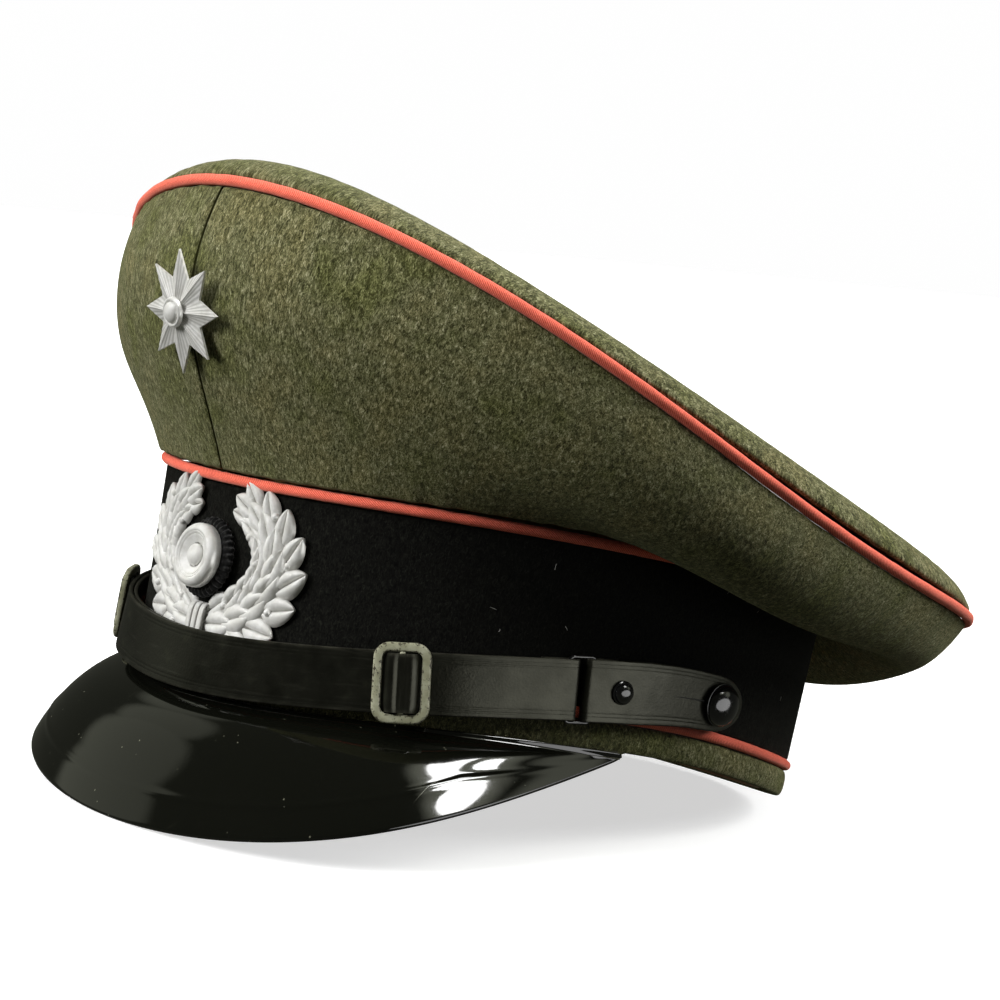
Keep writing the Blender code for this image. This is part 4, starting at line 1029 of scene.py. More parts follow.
def lower_trim(finish):
    """The narrow strip under the lower piping, folded round the rim with a soft round edge."""
    angle = ring_angles()
    top = LOWER_PIPING_HEIGHT - PIPING_RADIUS - 0.3 * MM
    wide, high = squared_ring(36, 0.62)
    height = top / 2 + top / 2 * high
    out = wide * (CLOTH / 2 + 0.25 * MM)
    growth = -CLOTH / 2 + 0.1 * MM + out
    bow = TRIM_BOW * np.sin(math.pi * np.clip(height / top, 0, 1)) * (out > 0)
    grid_angle = angle[None, :]
    lift = (growth + bow)[:, None] + ripple(grid_angle, TRIM_WAVES) * (out > 0)[:, None]
    lift = lift - TRIM_SEAM_DIP * rear_dip(grid_angle)
    over_peak = (np.cos(grid_angle) > math.cos(math.radians(PEAK_CORNER_ANGLE)))
    tucked = height[:, None] - TRIM_TUCK * over_peak * (1 - height / top)[:, None]
    grid = band_point(grid_angle, tucked) + band_normal(grid_angle) * lift[..., None]
    mesh = mesh_of("lower_trim", grid, wrap_rows=True)
    return add("lower_trim", mesh, finish, nodes=["lower_trim"])


def stitch_row(name, finish, angles, height, out, length):
    """A row of short stitches round the band."""
    meshes = []
    for angle in angles:
        ends = angle + np.linspace(-0.5, 0.5, 7) * length / BAND_HALF_LENGTH
        sink = np.abs(np.linspace(-1, 1, 7)) ** 3 * 0.35 * MM
        normal = band_normal(ends)
        path = band_point(ends, height) + normal * (out - sink)[:, None]
        meshes.append(thread(name, path, normal, STITCH_RADIUS, 6))
    return add(name, meshes, finish)


def make_band(black, melton_cloth, tan):
    waves = ((4, 0.25 * MM, 1.0), (7, 0.2 * MM, 2.5), (11, 0.12 * MM, 0.4))
    edge = PIPING_RADIUS + CLOTH / 2
    cloth_ring(black, "cap_band", LOWER_PIPING_HEIGHT + edge, UPPER_PIPING_HEIGHT - edge, 0.0,
               CLOTH, waves, 0.8 * MM)
    lower_trim(melton_cloth)
    flat = ((5, 0.1 * MM, 1.0),)
    cloth_ring(tan, "sweatband", 1.6 * MM, SWEATBAND_HEIGHT - 0.6 * MM, SWEATBAND_GROWTH,
               SWEATBAND_THICKNESS, flat, 0.3 * MM)
    angles = np.linspace(0, 2 * math.pi, 150, endpoint=False)
    inner = SWEATBAND_GROWTH - SWEATBAND_THICKNESS - 0.1 * MM
    stitch_row("sweatband_stitches", thread_and_slit_shade("tan_leather", (0.5, 0.38, 0.22)), angles,
               3.6 * MM, inner, 2.6 * MM)


def lint(finish):
    """A few pale fibres caught on the black cloth."""
    meshes = []
    for _ in range(LINT_COUNT):
        angle = rng.uniform(0.55, 2.6)
        height = rng.uniform(24, 50) * MM
        lean = rng.uniform(-1.3, 1.3)
        length = rng.uniform(0.7, 1.9) * MM
        share = np.linspace(-0.5, 0.5, 6)
        curl = rng.uniform(-0.6, 0.6) * MM * share ** 2
        across = share * length * math.sin(lean) + curl
        rise = share * length * math.cos(lean)
        angles = angle + across / BAND_HALF_WIDTH
        normal = band_normal(angles)
        path = band_point(angles, height + rise) + normal * 0.35 * MM
        meshes.append(thread("lint", path, normal, LINT_RADIUS, 5))
    return add("band_lint", meshes, finish)


# ---------------------------------------------------------------- peak

RIDGE_INSET = 9.0 * MM
RIDGE_RISE = 0.2 * MM
RIDGE_WIDTH = 0.9 * MM
RIM_FALL = 0.06 * MM
SIDE_SWELL = 0.55 * MM
BEAD_RISE = 0.85 * MM
BEAD_WIDTH = 0.95 * MM


def upward_normals(face):
    normal = grid_normals(face)
    return normal * np.sign(normal[..., 2:3].mean())


def peak(top_finish, under_finish):
    """The lacquered peak: a raised bead runs along inside its edge."""
    across = crowded(260, -PEAK_TRIM, PEAK_TRIM, 0.35)[None, :]
    out = np.concatenate([np.linspace(0, 0.05, 6)[:-1], np.linspace(0.05, 1.0, 90)])[:, None]
    face = peak_point(across, out)
    length = np.linalg.norm(face[-1] - face[0], axis=-1)[None, :]
    from_edge = np.linalg.norm(face - face[-1:], axis=-1)
    from_band = np.linalg.norm(face - face[:1], axis=-1)
    inset = np.minimum(RIDGE_INSET, 0.36 * length)
    fade = np.clip(length / (24 * MM), 0, 1) ** 2
    bead = np.exp(-((from_edge - inset) / RIDGE_WIDTH) ** 2)
    fall = np.clip(1 - from_edge / inset, 0, 1) ** 2
    upturn = np.exp(-(from_band / BEAD_WIDTH) ** 2)
    inward = np.clip(from_band / np.maximum(length - inset, MM), 0, 1)
    beside = np.exp(-((np.abs(across) - 0.72) / 0.16) ** 2)
    swell = SIDE_SWELL * np.sin(math.pi * inward) ** 2 * beside
    lift = fade * (RIDGE_RISE * bead - RIM_FALL * fall) + BEAD_RISE * upturn + swell
    face = face + upward_normals(face) * lift[..., None]
    tuck_angle = across[0] * math.radians(PEAK_CORNER_ANGLE)
    tuck = band_point(tuck_angle, -PEAK_GAP, -PEAK_TUCK)
    face = np.concatenate([tuck[None], face])
    rows = shell_rows(face, upward_normals(face), PEAK_THICKNESS)
    mesh = mesh_of("visor_shell", rows.transpose(1, 0, 2), caps=True)
    columns = rows.shape[0]
    top_faces = len(face) + 2
    slots = np.arange(len(mesh.polygons)) % columns
    slots = np.where((slots >= top_faces) & (slots < 2 * len(face) + 3), 1, 0)
    slots[-2:] = 0
    mesh.polygons.foreach_set("material_index", slots.astype(np.int32))
    return add("visor_shell", mesh, [top_finish, under_finish], nodes=["visor_shell"])


# ---------------------------------------------------------------- chin strap

GROOVE_INSETS = (1.5 * MM, 2.5 * MM)
GROOVE_DEPTH = 0.075 * MM
GROOVE_WIDTH = 0.22 * MM
FOLD_RETURN = 9.0 * MM
STRAIGHT_STEPS = 10


def ribbon_section(half_width, thickness):
    """Across and out for points round a strap's section, and how near an edge each one is."""
    half = thickness / 2
    corner = 0.42 * MM
    face = half_width - corner
    inner = np.linspace(-1, 1, 15) * (half_width - 3.4 * MM)
    grooves = [half_width - inset + step for inset in GROOVE_INSETS
               for step in (-0.45 * MM, -0.2 * MM, 0.0, 0.2 * MM, 0.45 * MM)]
    across = np.unique(np.concatenate([inner, grooves, [-g for g in grooves], [-face, face]]))
    depth = sum(np.exp(-((np.abs(across) - (half_width - inset)) / GROOVE_WIDTH) ** 2)
                for inset in GROOVE_INSETS) * GROOVE_DEPTH
    turns = np.linspace(0, math.pi / 2, 5)[1:]
    up_across = face + corner * np.sin(turns)
    up_out = half - corner + corner * np.cos(turns)
    low_across = face + corner * np.cos(turns)
    low_out = -half + corner - corner * np.sin(turns)
    back = np.linspace(face, -face, 9)[1:-1]
    xs = np.concatenate([across, up_across, low_across, back, -low_across[::-1], -up_across[::-1]])
    zs = np.concatenate([half - depth, up_out, low_out, np.full(7, -half), low_out[::-1], up_out[::-1]])
    near = np.clip(1 - (half_width - np.abs(xs)) / (0.9 * MM), 0, 1)
    return xs / half_width, zs, near


def ribbon(name, path, normal, half_width, thickness):
    """A strip of leather along a path in the band frame; its width is square to the path."""
    half_width = np.broadcast_to(half_width, path.shape[:1])
    upward = unit(np.cross(normal, np.gradient(path, axis=0)))
    upward = upward * np.sign(upward[:, 2].mean())
    xs, zs, near = ribbon_section(half_width.max(), thickness)
    grid = (path[:, None] + upward[:, None] * (half_width[:, None] * xs[None, :])[..., None]
            + normal[:, None] * zs[None, :, None])
    marks = {"edge": np.broadcast_to(near, grid.shape[:2])}
    along = steps_along(grid, 0, False)
    across = (xs * half_width.max())[None, :] + 0 * along[:, None]
    uv = np.stack([across, along[:, None] + 0 * across], -1)
    return mesh_of(name, grid, caps=True, uv=uv, marks=marks)


def folded_path(angles, layer, fold_start, fold_end):
    """The middle line of a strap between two angles, folded back at the ends round a loop's wire."""
    half = STRAP_THICKNESS / 2
    angles = np.radians(angles)
    wave = ripple(angles, ((9, 0.10 * MM, 0.4), (14, 0.07 * MM, 1.7), (23, 0.04 * MM, 0.2)))
    path = strap_point(angles, layer, half + wave)
    normal = band_normal(angles)
    for at_start in (True, False):
        if not (fold_start if at_start else fold_end):
            continue
        index = 0 if at_start else -1
        inner = 1 if at_start else -2
        ahead = unit(path[index] - path[inner])
        turn_radius = LOOP_WIRE + half + 0.05 * MM
        centre = path[index] - normal[index] * turn_radius
        turns = np.linspace(0, math.pi, 13)[1:, None]
        bend_normal = normal[index] * np.cos(turns) + ahead * np.sin(turns)
        bend = centre + bend_normal * turn_radius
        back = bend[-1] - ahead * np.linspace(0, FOLD_RETURN, 8)[1:, None]
        extra = np.concatenate([bend, back])
        extra_normal = np.concatenate([bend_normal, np.repeat(-normal[index][None], 7, axis=0)])
        if at_start:
            path = np.concatenate([extra[::-1], path])
            normal = np.concatenate([extra_normal[::-1], normal])
        else:
            path = np.concatenate([path, extra])
            normal = np.concatenate([normal, extra_normal])
    return path, normal


def strap_layers(finish):
    """The strap's two layers, each folded round the wire loop at its own end."""
    half = STRAP_WIDTH / 2
    left = BUCKLE_ANGLES["left"] + OVERLAP_END
    right = BUCKLE_ANGLES["right"] - OVERLAP_END
    path, normal = folded_path(np.linspace(-STRAP_END_ANGLE, left, 190), 1, True, False)
    add("strap_outer", ribbon("strap_outer", path, normal, half, STRAP_THICKNESS), finish,
        "chin_strap", ["strap_outer"])
    path, normal = folded_path(np.linspace(right, STRAP_END_ANGLE, 190), 0, False, True)
    add("strap_inner", ribbon("strap_inner", path, normal, half, STRAP_THICKNESS), finish,
        "chin_strap", ["strap_inner"])


def tab_half_width(share):
    """Full width at the loop, tapered to a round nose at the rear."""
    nose = 0.8
    taper = 1.0 - 0.18 * np.maximum(share - 0.3, 0.0)
    past = np.clip((share - nose) / (1.0 - nose), 0, 1)
    return TAB_WIDTH / 2 * taper * np.where(share > nose, np.sqrt(1 - past ** 2) * 0.97 + 0.03, 1.0)


def end_tab(finish, side, sign, layer):
    nose = np.sin(np.linspace(0, math.pi / 2, 40))[1:]
    share = np.concatenate([np.linspace(0, 0.8, 60), 0.8 + 0.2 * nose])
    angles = (TAB_START_ANGLE + (TAB_END_ANGLE - TAB_START_ANGLE) * share) * sign
    path, normal = folded_path(angles, layer, True, False)
    extra = len(path) - len(angles)
    half = np.concatenate([np.full(extra, TAB_WIDTH / 2), tab_half_width(share)])
    name = "end_tab_" + side
    mesh = ribbon(name, path, normal, half, STRAP_THICKNESS)
    return add(name, mesh, finish, "chin_strap", [name])


def tab_slit(finish, side, sign, layer):
    """A black tube laid along the tab as painted shade inside the slit that lets the tab pass over the side
    button.
    """
    degrees = np.linspace(BUTTON_ANGLE - 10.2, BUTTON_ANGLE - 3.0, 14)
    angles = np.radians(degrees) * sign
    share = np.linspace(-1, 1, 14)
    width = (0.06 + 0.20 * np.clip((share + 1) / 2, 0, 1)) * MM
    path = strap_point(angles, layer, STRAP_THICKNESS - 0.05 * MM)
    mesh = thread("tab_slit_" + side, path, band_normal(angles), width, 8)
    return add("tab_slit_" + side, mesh, finish, "chin_strap")


def rounded_outline(half_width, half_height, corner, steps):
    """A closed rectangle with round corners, and the outward direction at each point."""
    points, directions = [], []
    for index, (sx, sy) in enumerate(((1, 1), (-1, 1), (-1, -1), (1, -1))):
        centre = np.array([sx * (half_width - corner), sy * (half_height - corner)])
        for step in range(steps + 1):
            turn = math.pi / 2 * (index + step / steps)
            way = np.array([math.cos(turn), math.sin(turn)])
            points.append(centre + corner * way)
            directions.append(way)
        following = ((-1, 1), (-1, -1), (1, -1), (1, 1))[index]
        goal = np.array([following[0] * (half_width - corner), following[1] * (half_height - corner)])
        goal = goal + corner * directions[-1]
        start = points[-1]
        for step in range(1, STRAIGHT_STEPS):
            points.append(start + (goal - start) * step / STRAIGHT_STEPS)
            directions.append(directions[-1])
    return np.array(points), np.array(directions)


def wire_loop(finish, side, sign, layer):
    matrix = strap_frame(math.radians(LOOP_ANGLE) * sign, layer, -LOOP_WIRE - 0.05 * MM)
    outline, directions = rounded_outline(LOOP_WIDTH / 2 - LOOP_WIRE, LOOP_HEIGHT / 2 - LOOP_WIRE,
                                          1.3 * MM, 8)
    path = join(outline[:, 0], outline[:, 1], 0.0)
    across = join(directions[:, 0], directions[:, 1], 0.0)
    turn = matrix.copy()
    turn[:3, 3] = 0
    name = "strap_loop_" + side
    out = np.broadcast_to(moved(UP, turn), path.shape)
    mesh = tube(name, moved(path, matrix), moved(across, turn), out, LOOP_WIRE, 12)
    return add(name, mesh, finish, "chin_strap", [name])


def squared_ring(count, power):
    """Points round a squarish section, as shares from -1 to 1."""
    turns = np.linspace(0, 2 * math.pi, count, endpoint=False)
    wide = np.sign(np.cos(turns)) * np.abs(np.cos(turns)) ** power
    high = np.sign(np.sin(turns)) * np.abs(np.sin(turns)) ** power
    return wide, high


def buckle(finish, side):
    """A flat buckle with round corners, rounded edges and a bar across its middle."""
    out = STRAP_THICKNESS + BUCKLE_GAP + BUCKLE_THICKNESS / 2
    matrix = strap_frame(math.radians(BUCKLE_ANGLES[side]), 1, out)
    middle = BUCKLE_RIM / 2
    outline, directions = rounded_outline(BUCKLE_WIDTH / 2 - middle, BUCKLE_HEIGHT / 2 - middle,
                                          3.2 * MM, 12)
    wide, high = squared_ring(24, 0.55)
    centre = join(outline[:, 0], outline[:, 1], 0.0)[:, None]
    way = join(directions[:, 0], directions[:, 1], 0.0)[:, None]
    grid = centre + way * (wide * middle)[None, :, None] + UP * (high * BUCKLE_THICKNESS / 2)[None, :, None]
    near = np.broadcast_to(np.clip((np.abs(wide) * np.abs(high) - 0.45) * 3, 0, 1), grid.shape[:2])
    ring = mesh_of("buckle_" + side, moved(grid, matrix), wrap_rows=True,
                   marks={"edge": near})
    heights = np.linspace(-1, 1, 20) * (BUCKLE_HEIGHT / 2 - BUCKLE_RIM + 0.3 * MM)
    wide, high = squared_ring(16, 0.7)
    bar = join(wide[None, :] * BUCKLE_BAR / 2, heights[:, None], high[None, :] * BUCKLE_THICKNESS * 0.36)
    bar_mesh = mesh_of("bar", moved(bar, matrix), caps=True,
                       marks={"edge": np.zeros(bar.shape[:2])})
    name = "buckle_" + side
    return add(name, [ring, bar_mesh], finish, side + "_buckle", [name])


def buckle_fold(finish, side):
    """The strap's end folded over the buckle's bar, which shows as two upright rolls."""
    out = STRAP_THICKNESS + BUCKLE_GAP + BUCKLE_THICKNESS / 2
    matrix = strap_frame(math.radians(BUCKLE_ANGLES[side]), 1, out)
    half = BUCKLE_WIDTH / 2 - BUCKLE_RIM - 0.4 * MM
    bar = BUCKLE_BAR / 2 + 0.35 * MM
    back = -BUCKLE_THICKNESS / 2 + 0.1 * MM
    over_bar = BUCKLE_THICKNESS / 2 + 0.35 * MM
    crest = over_bar + 0.9 * MM
    x = half * np.cos(np.linspace(0, math.pi, 61))
    hump = np.abs(np.sin(math.pi * np.abs(x) / half)) ** 0.55
    floor = np.where(np.abs(x) < half / 2, over_bar + 0.35 * MM, back + 0.6 * MM)
    top = np.maximum(floor, back + (crest - back) * hump)
    section_x = np.concatenate([[-half, -bar, -bar, bar, bar, half], x])
    section_z = np.concatenate([[back, back, over_bar, over_bar, back, back], top])
    length = BUCKLE_HEIGHT / 2 - BUCKLE_RIM - 0.45 * MM
    share = np.sin(np.linspace(-math.pi / 2, math.pi / 2, 25))
    pinch = 1 - 0.10 * np.abs(share) ** 6
    grid = join(section_x[None, :] * pinch[:, None], (share * length)[:, None],
                section_z[None, :] - 0.25 * MM * (np.abs(share) ** 8)[:, None])
    near = np.clip(np.abs(share) * 8 - 7, 0, 1)[:, None] + 0 * section_x[None, :]
    name = "buckle_fold_" + side
    mesh = mesh_of(name, moved(grid, matrix), caps=True, marks={"edge": near})
    return add(name, mesh, finish, side + "_buckle", [name], sharp=50)


def dome(radius, height, foot, steps=14):
    turns = np.linspace(0, math.pi / 2, steps)
    return [(radius * math.sin(t), foot + height * math.cos(t)) for t in turns]


def tab_stud(finish, side, sign, layer):
    """A small domed stud with a flat rolled rim."""
    foot = STRAP_THICKNESS + 0.25 * MM
    matrix = strap_frame(math.radians(STUD_ANGLE) * sign, layer, foot)
    inner = STUD_RADIUS - 0.55 * MM
    profile = dome(inner, 1.8 * MM, 0.75 * MM)
    rim = [(inner + 0.1 * MM + 0.3 * MM * math.sin(t), 0.32 * MM + 0.3 * MM * math.cos(t))
           for t in np.linspace(0, math.pi, 7)]
    name = "tab_stud_" + side
    mesh = turned(name, profile + rim + [(inner * 0.6, 0.0), (0.0, 0.0)], matrix, 48)
    return add(name, mesh, finish, "chin_strap", [name])


def side_button(finish, side, sign, layer):
    """A domed side button: a shell with a rolled edge over a narrower base."""
    angle = math.radians(BUTTON_ANGLE) * sign
    place = band_point(angle, strap_height(angle))
    foot = strap_out(angle, layer) + STRAP_THICKNESS + 0.4 * MM
    edge = foot + 1.05 * MM
    profile = dome(BUTTON_RADIUS - 0.35 * MM, 3.3 * MM, edge + 0.25 * MM, 20)
    profile += [(BUTTON_RADIUS - 0.3 * MM + 0.3 * MM * math.sin(t), edge + 0.28 * MM * math.cos(t))
                for t in np.linspace(0.3, math.pi - 0.3, 8)]
    base = BUTTON_RADIUS - 1.1 * MM
    profile += [(base, edge - 0.35 * MM), (base, foot), (base - 0.5 * MM, foot), (1.2 * MM, foot),
                (1.2 * MM, 0.6 * MM), (1.2 * MM, -4.6 * MM), (0.0, -4.6 * MM)]
    name = "side_button_" + side
    mesh = turned(name, profile, facing(place, band_normal(angle)), 72)
    return add(name, mesh, finish, "cap", [name], sharp=55)


def make_strap(leather_finish, paint, enamel, slit_shade):
    strap_layers(leather_finish)
    for side, sign, layer in (("left", 1, 0), ("right", -1, 1)):
        end_tab(leather_finish, side, sign, layer)
        tab_slit(slit_shade, side, sign, layer)
        wire_loop(enamel, side, sign, layer)
        tab_stud(enamel, side, sign, layer)
        side_button(enamel, side, sign, layer)
        buckle(paint, side)
        buckle_fold(leather_finish, side)


# ---------------------------------------------------------------- badges

LEAF_LENGTH = 11.6 * MM
LEAF_WIDTH = 8.6 * MM
LEAF_RELIEF = 2.1 * MM
WREATH_ROWS = 9
WREATH_FIRST_ROW = 7.0
WREATH_LAST_ROW = 141.0
# How far each file of leaves splays, where it springs from across the branch, how high it lies
# and its share of the full size: outer file, inner file and middle file
WREATH_FILES = ((-0.66, 3.3, 0.85, 1.0), (0.46, -5.0, 0.85, 0.86), (0.02, -0.6, 1.4, 1.0))
# The strap swings up over the lowest leaves, so they are kept flatter
LOW_LEAF_HEIGHT = 24.5 * MM
LOW_LEAF_SPAN = 6.0 * MM
LOW_LEAF_SHARE = 0.66


def leaf(place, heading, length, width, base, relief):
    """One laurel leaf on the band: a full oval, arched either side of its midrib."""
    along = 0.5 - 0.5 * np.cos(np.linspace(0, math.pi, 17))
    outline = np.sin(math.pi * along ** 0.9) ** 0.62 * (1 - 0.12 * along) + 0.02
    across = np.concatenate([np.linspace(-1, 1, 17), np.linspace(1, -1, 9)[1:-1]])
    top = np.concatenate([np.ones(17), np.zeros(7)])
    side = np.abs(across)
    arch = 0.42 * np.sin(math.pi * side) ** 0.8 + 0.58 * (1 - side ** 2.6)
    rib = 0.30 * np.exp(-(across / 0.12) ** 2)
    veins = 0.09 * np.cos(8 * math.pi * (along[:, None] - 0.35 * side[None, :]))
    veins = veins * np.sin(math.pi * side)[None, :] * np.sin(math.pi * along)[:, None]
    swell = np.sin(math.pi * along ** 0.9) ** 0.6
    rise = (arch - rib)[None, :] + veins
    out = base + relief * top[None, :] * np.clip(rise, 0.05, 1.2) * (0.35 + 0.65 * swell)[:, None]
    out = out + 0.25 * relief * (along ** 1.5)[:, None] * top[None, :]
    x = (along[:, None] * length) + 0 * across[None, :]
    y = outline[:, None] * across[None, :] * width / 2
    way = np.array([math.cos(heading), math.sin(heading)])
    spot_x = place[0] + x * way[0] - y * way[1]
    spot_y = place[1] + x * way[1] + y * way[0]
    clear = np.clip((spot_y - LOW_LEAF_HEIGHT) / LOW_LEAF_SPAN, 0, 1)
    out = out * (LOW_LEAF_SHARE + (1 - LOW_LEAF_SHARE) * clear)
    # painted shade: the leaf's low parts, its underside and its rim are marked to turn dull grey
    painted_shade = (1 - np.clip((rise - 0.2) / 0.35, 0, 1)) * top[None, :] + (1 - top)[None, :]
    edge = np.clip(side[None, :] * 6 - 5.4, 0, 1)
    return mesh_of("leaf", on_band(spot_x, spot_y, out), caps=True,
                   marks={"painted_shade": np.clip(painted_shade + edge, 0, 1)})


def wreath_way(turn):
    """The outward direction at a turn of the wreath, and how far widths shrink near its bottom."""
    return np.array([math.sin(turn), -math.cos(turn)]), 0.56 + 0.44 * abs(math.sin(turn))


def wreath_spot(turn, inset=0.0):
    """A point on a branch of the wreath: the turn runs from the bottom up one side."""
    way, squash = wreath_way(turn)
    centre = np.array([WREATH_HALF_WIDTH * way[0], ROSETTE_HEIGHT + WREATH_HALF_HEIGHT * way[1]])
    return centre + way * inset * squash


def wreath_heading(turn, sign):
    ahead = wreath_spot(turn + 0.05 * sign) - wreath_spot(turn - 0.05 * sign)
    return math.atan2(ahead[1], ahead[0])


def wreath_stem(sign):
    """The band under the leaves, which joins them into one stamping."""
    turns = np.linspace(0.0, math.radians(WREATH_SWEEP - 14), 60) * sign
    rings = []
    for turn in turns:
        half = 6.2 * MM * (1 - 0.6 * (abs(turn) / math.radians(WREATH_SWEEP)) ** 3)
        wide, high = squared_ring(16, 0.8)
        way, squash = wreath_way(turn)
        spots = wreath_spot(turn)[None, :] + way[None, :] * (wide * half * squash)[:, None]
        rings.append(on_band(spots[:, 0], spots[:, 1], (0.9 + 0.45 * high) * MM))
    grid = np.array(rings)
    # painted shade: the whole stem, which lies under the leaves, is marked to turn dull grey
    return mesh_of("stem", grid, caps=True, marks={"painted_shade": np.ones(grid.shape[:2])})


def berry(turn, inset, radius, out):
    spot = wreath_spot(turn, inset)
    centre = on_band(spot[0], spot[1], out)
    mesh = sphere("berry", centre, radius)
    attribute = mesh.attributes.new("painted_shade", "FLOAT", "POINT")
    attribute.data.foreach_set("value", np.zeros(len(mesh.vertices), np.float32))
    return mesh


def wreath(finish):
    """Two laurel branches, open at the top, each leaf its own relief."""
    meshes = []
    for sign in (1, -1):
        meshes.append(wreath_stem(sign))
        for row in range(WREATH_ROWS):
            share = row / (WREATH_ROWS - 1)
            turn = math.radians(WREATH_FIRST_ROW + (WREATH_LAST_ROW - WREATH_FIRST_ROW) * share) * sign
            heading = wreath_heading(turn, sign)
            shrink = 1 - 0.24 * share ** 2
            closing = 1 - 0.45 * share ** 2
            for splay, inset, lift, size in WREATH_FILES:
                spot = wreath_spot(turn, inset * closing * MM)
                meshes.append(leaf(spot, heading + splay * closing * sign, LEAF_LENGTH * shrink * size,
                                   LEAF_WIDTH * shrink * size, lift * MM, LEAF_RELIEF * shrink))
            if row % 2:
                for inset in (5.2, -5.8):
                    meshes.append(berry(turn + 0.07 * sign, inset * MM, 1.1 * MM, (1.2 + share) * MM))
    meshes += wreath_tie()
    return add("wreath_badge", meshes, finish, "cap", ["wreath_badge"], sharp=60)


def wreath_tie():
    """The ribbon that binds the two branches at the bottom: three close turns."""
    meshes = []
    for shift in (-2.6, 0.0, 2.6):
        heights = np.linspace(-1, 1, 24)
        spot = wreath_spot(0.0)
        rows = []
        for height in heights:
            wide, high = squared_ring(12, 0.8)
            x = spot[0] + shift * MM + 0.35 * MM * height + wide * 1.15 * MM
            z = spot[1] + height * 5.6 * MM + 0 * wide
            out = (1.0 + 2.0 * math.sqrt(max(1 - height ** 4, 0.0)) + 0.35 * high) * MM
            rows.append(on_band(x, z, out))
        grid = np.array(rows)
        # painted shade: the sides of each turn, between the turns, are marked to turn dull grey
        near = np.broadcast_to(np.clip(np.abs(squared_ring(12, 0.8)[0]) * 4 - 3, 0, 1), grid.shape[:2])
        meshes.append(mesh_of("tie", grid, caps=True, marks={"painted_shade": near}))
    return meshes


def rosette(cloth, metal):
    """A dark woven disc with a toothed edge, a stepped silver ring and a plain domed centre."""
    zero = np.array(0.0)
    matrix = facing(on_band(zero, ROSETTE_HEIGHT, 0.0), band_normal(zero))
    back = 1.1 * MM
    face = back + 2.4 * MM
    turns = np.linspace(0, 2 * math.pi, 288, endpoint=False)
    ribs = 0.5 + 0.5 * np.cos(36 * turns)
    profile = np.array([(0.3, face), (4.0, face), (7.5, face), (9.0, face + 0.1 * MM), (10.0, face),
                        (10.8, face - 0.4 * MM), (11.3, face - 1.0 * MM), (11.4, face - 1.6 * MM),
                        (11.2, back), (6.0, back), (0.3, back)])
    radius = profile[:, 0] * MM
    toothed = np.clip((radius - 8.0 * MM) / (3.0 * MM), 0, 1)
    grid_radius = radius[:, None] - toothed[:, None] * 0.55 * MM * (1 - ribs)[None, :]
    grid_height = profile[:, 1][:, None] - toothed[:, None] * 0.35 * MM * (1 - ribs)[None, :]
    grid_height = np.maximum(grid_height, back)
    grid = join(grid_radius * np.cos(turns), grid_radius * np.sin(turns), grid_height)
    mesh = mesh_of("rosette_backing", moved(grid, matrix), caps=True)
    add("rosette_backing", mesh, cloth, nodes=["rosette_backing"])
    foot = face + 0.35 * MM
    bore = ROSETTE_DOME_RADIUS + 0.35 * MM
    floor = foot + 1.4 * MM
    top = foot + 4.0 * MM
    steps = [(0.0, floor), (bore, floor)]
    bowl = ((0.05, 2.3), (0.4, 2.5), (1.0, 2.85), (1.6, 3.2), (2.0, 3.42), (2.16, 3.47),
            (2.26, 3.3), (2.36, 3.52), (2.9, 3.72), (3.0, 3.76), (3.1, 3.58), (3.2, 3.8))
    steps += [(bore + out * MM, foot + rise * MM) for out, rise in bowl]
    steps += [(ROSETTE_RADIUS - 1.9 * MM + 1.9 * MM * math.sin(t),
               top - 2.2 * MM + 2.2 * MM * math.cos(t)) for t in np.linspace(0.05, math.pi / 2, 12)]
    steps += [(ROSETTE_RADIUS, foot + 0.3 * MM), (ROSETTE_RADIUS - 0.3 * MM, foot), (0.0, foot)]
    add("rosette_ring", turned("rosette_ring", steps, matrix, 96), metal, nodes=["rosette_ring"], sharp=50)
    base = floor + 0.35 * MM
    centre = dome(ROSETTE_DOME_RADIUS, 1.5 * MM, base + 0.7 * MM)
    centre += [(ROSETTE_DOME_RADIUS, base), (0.0, base)]
    add("rosette_dome", turned("rosette_dome", centre, matrix, 64), metal, nodes=["rosette_dome"], sharp=60)


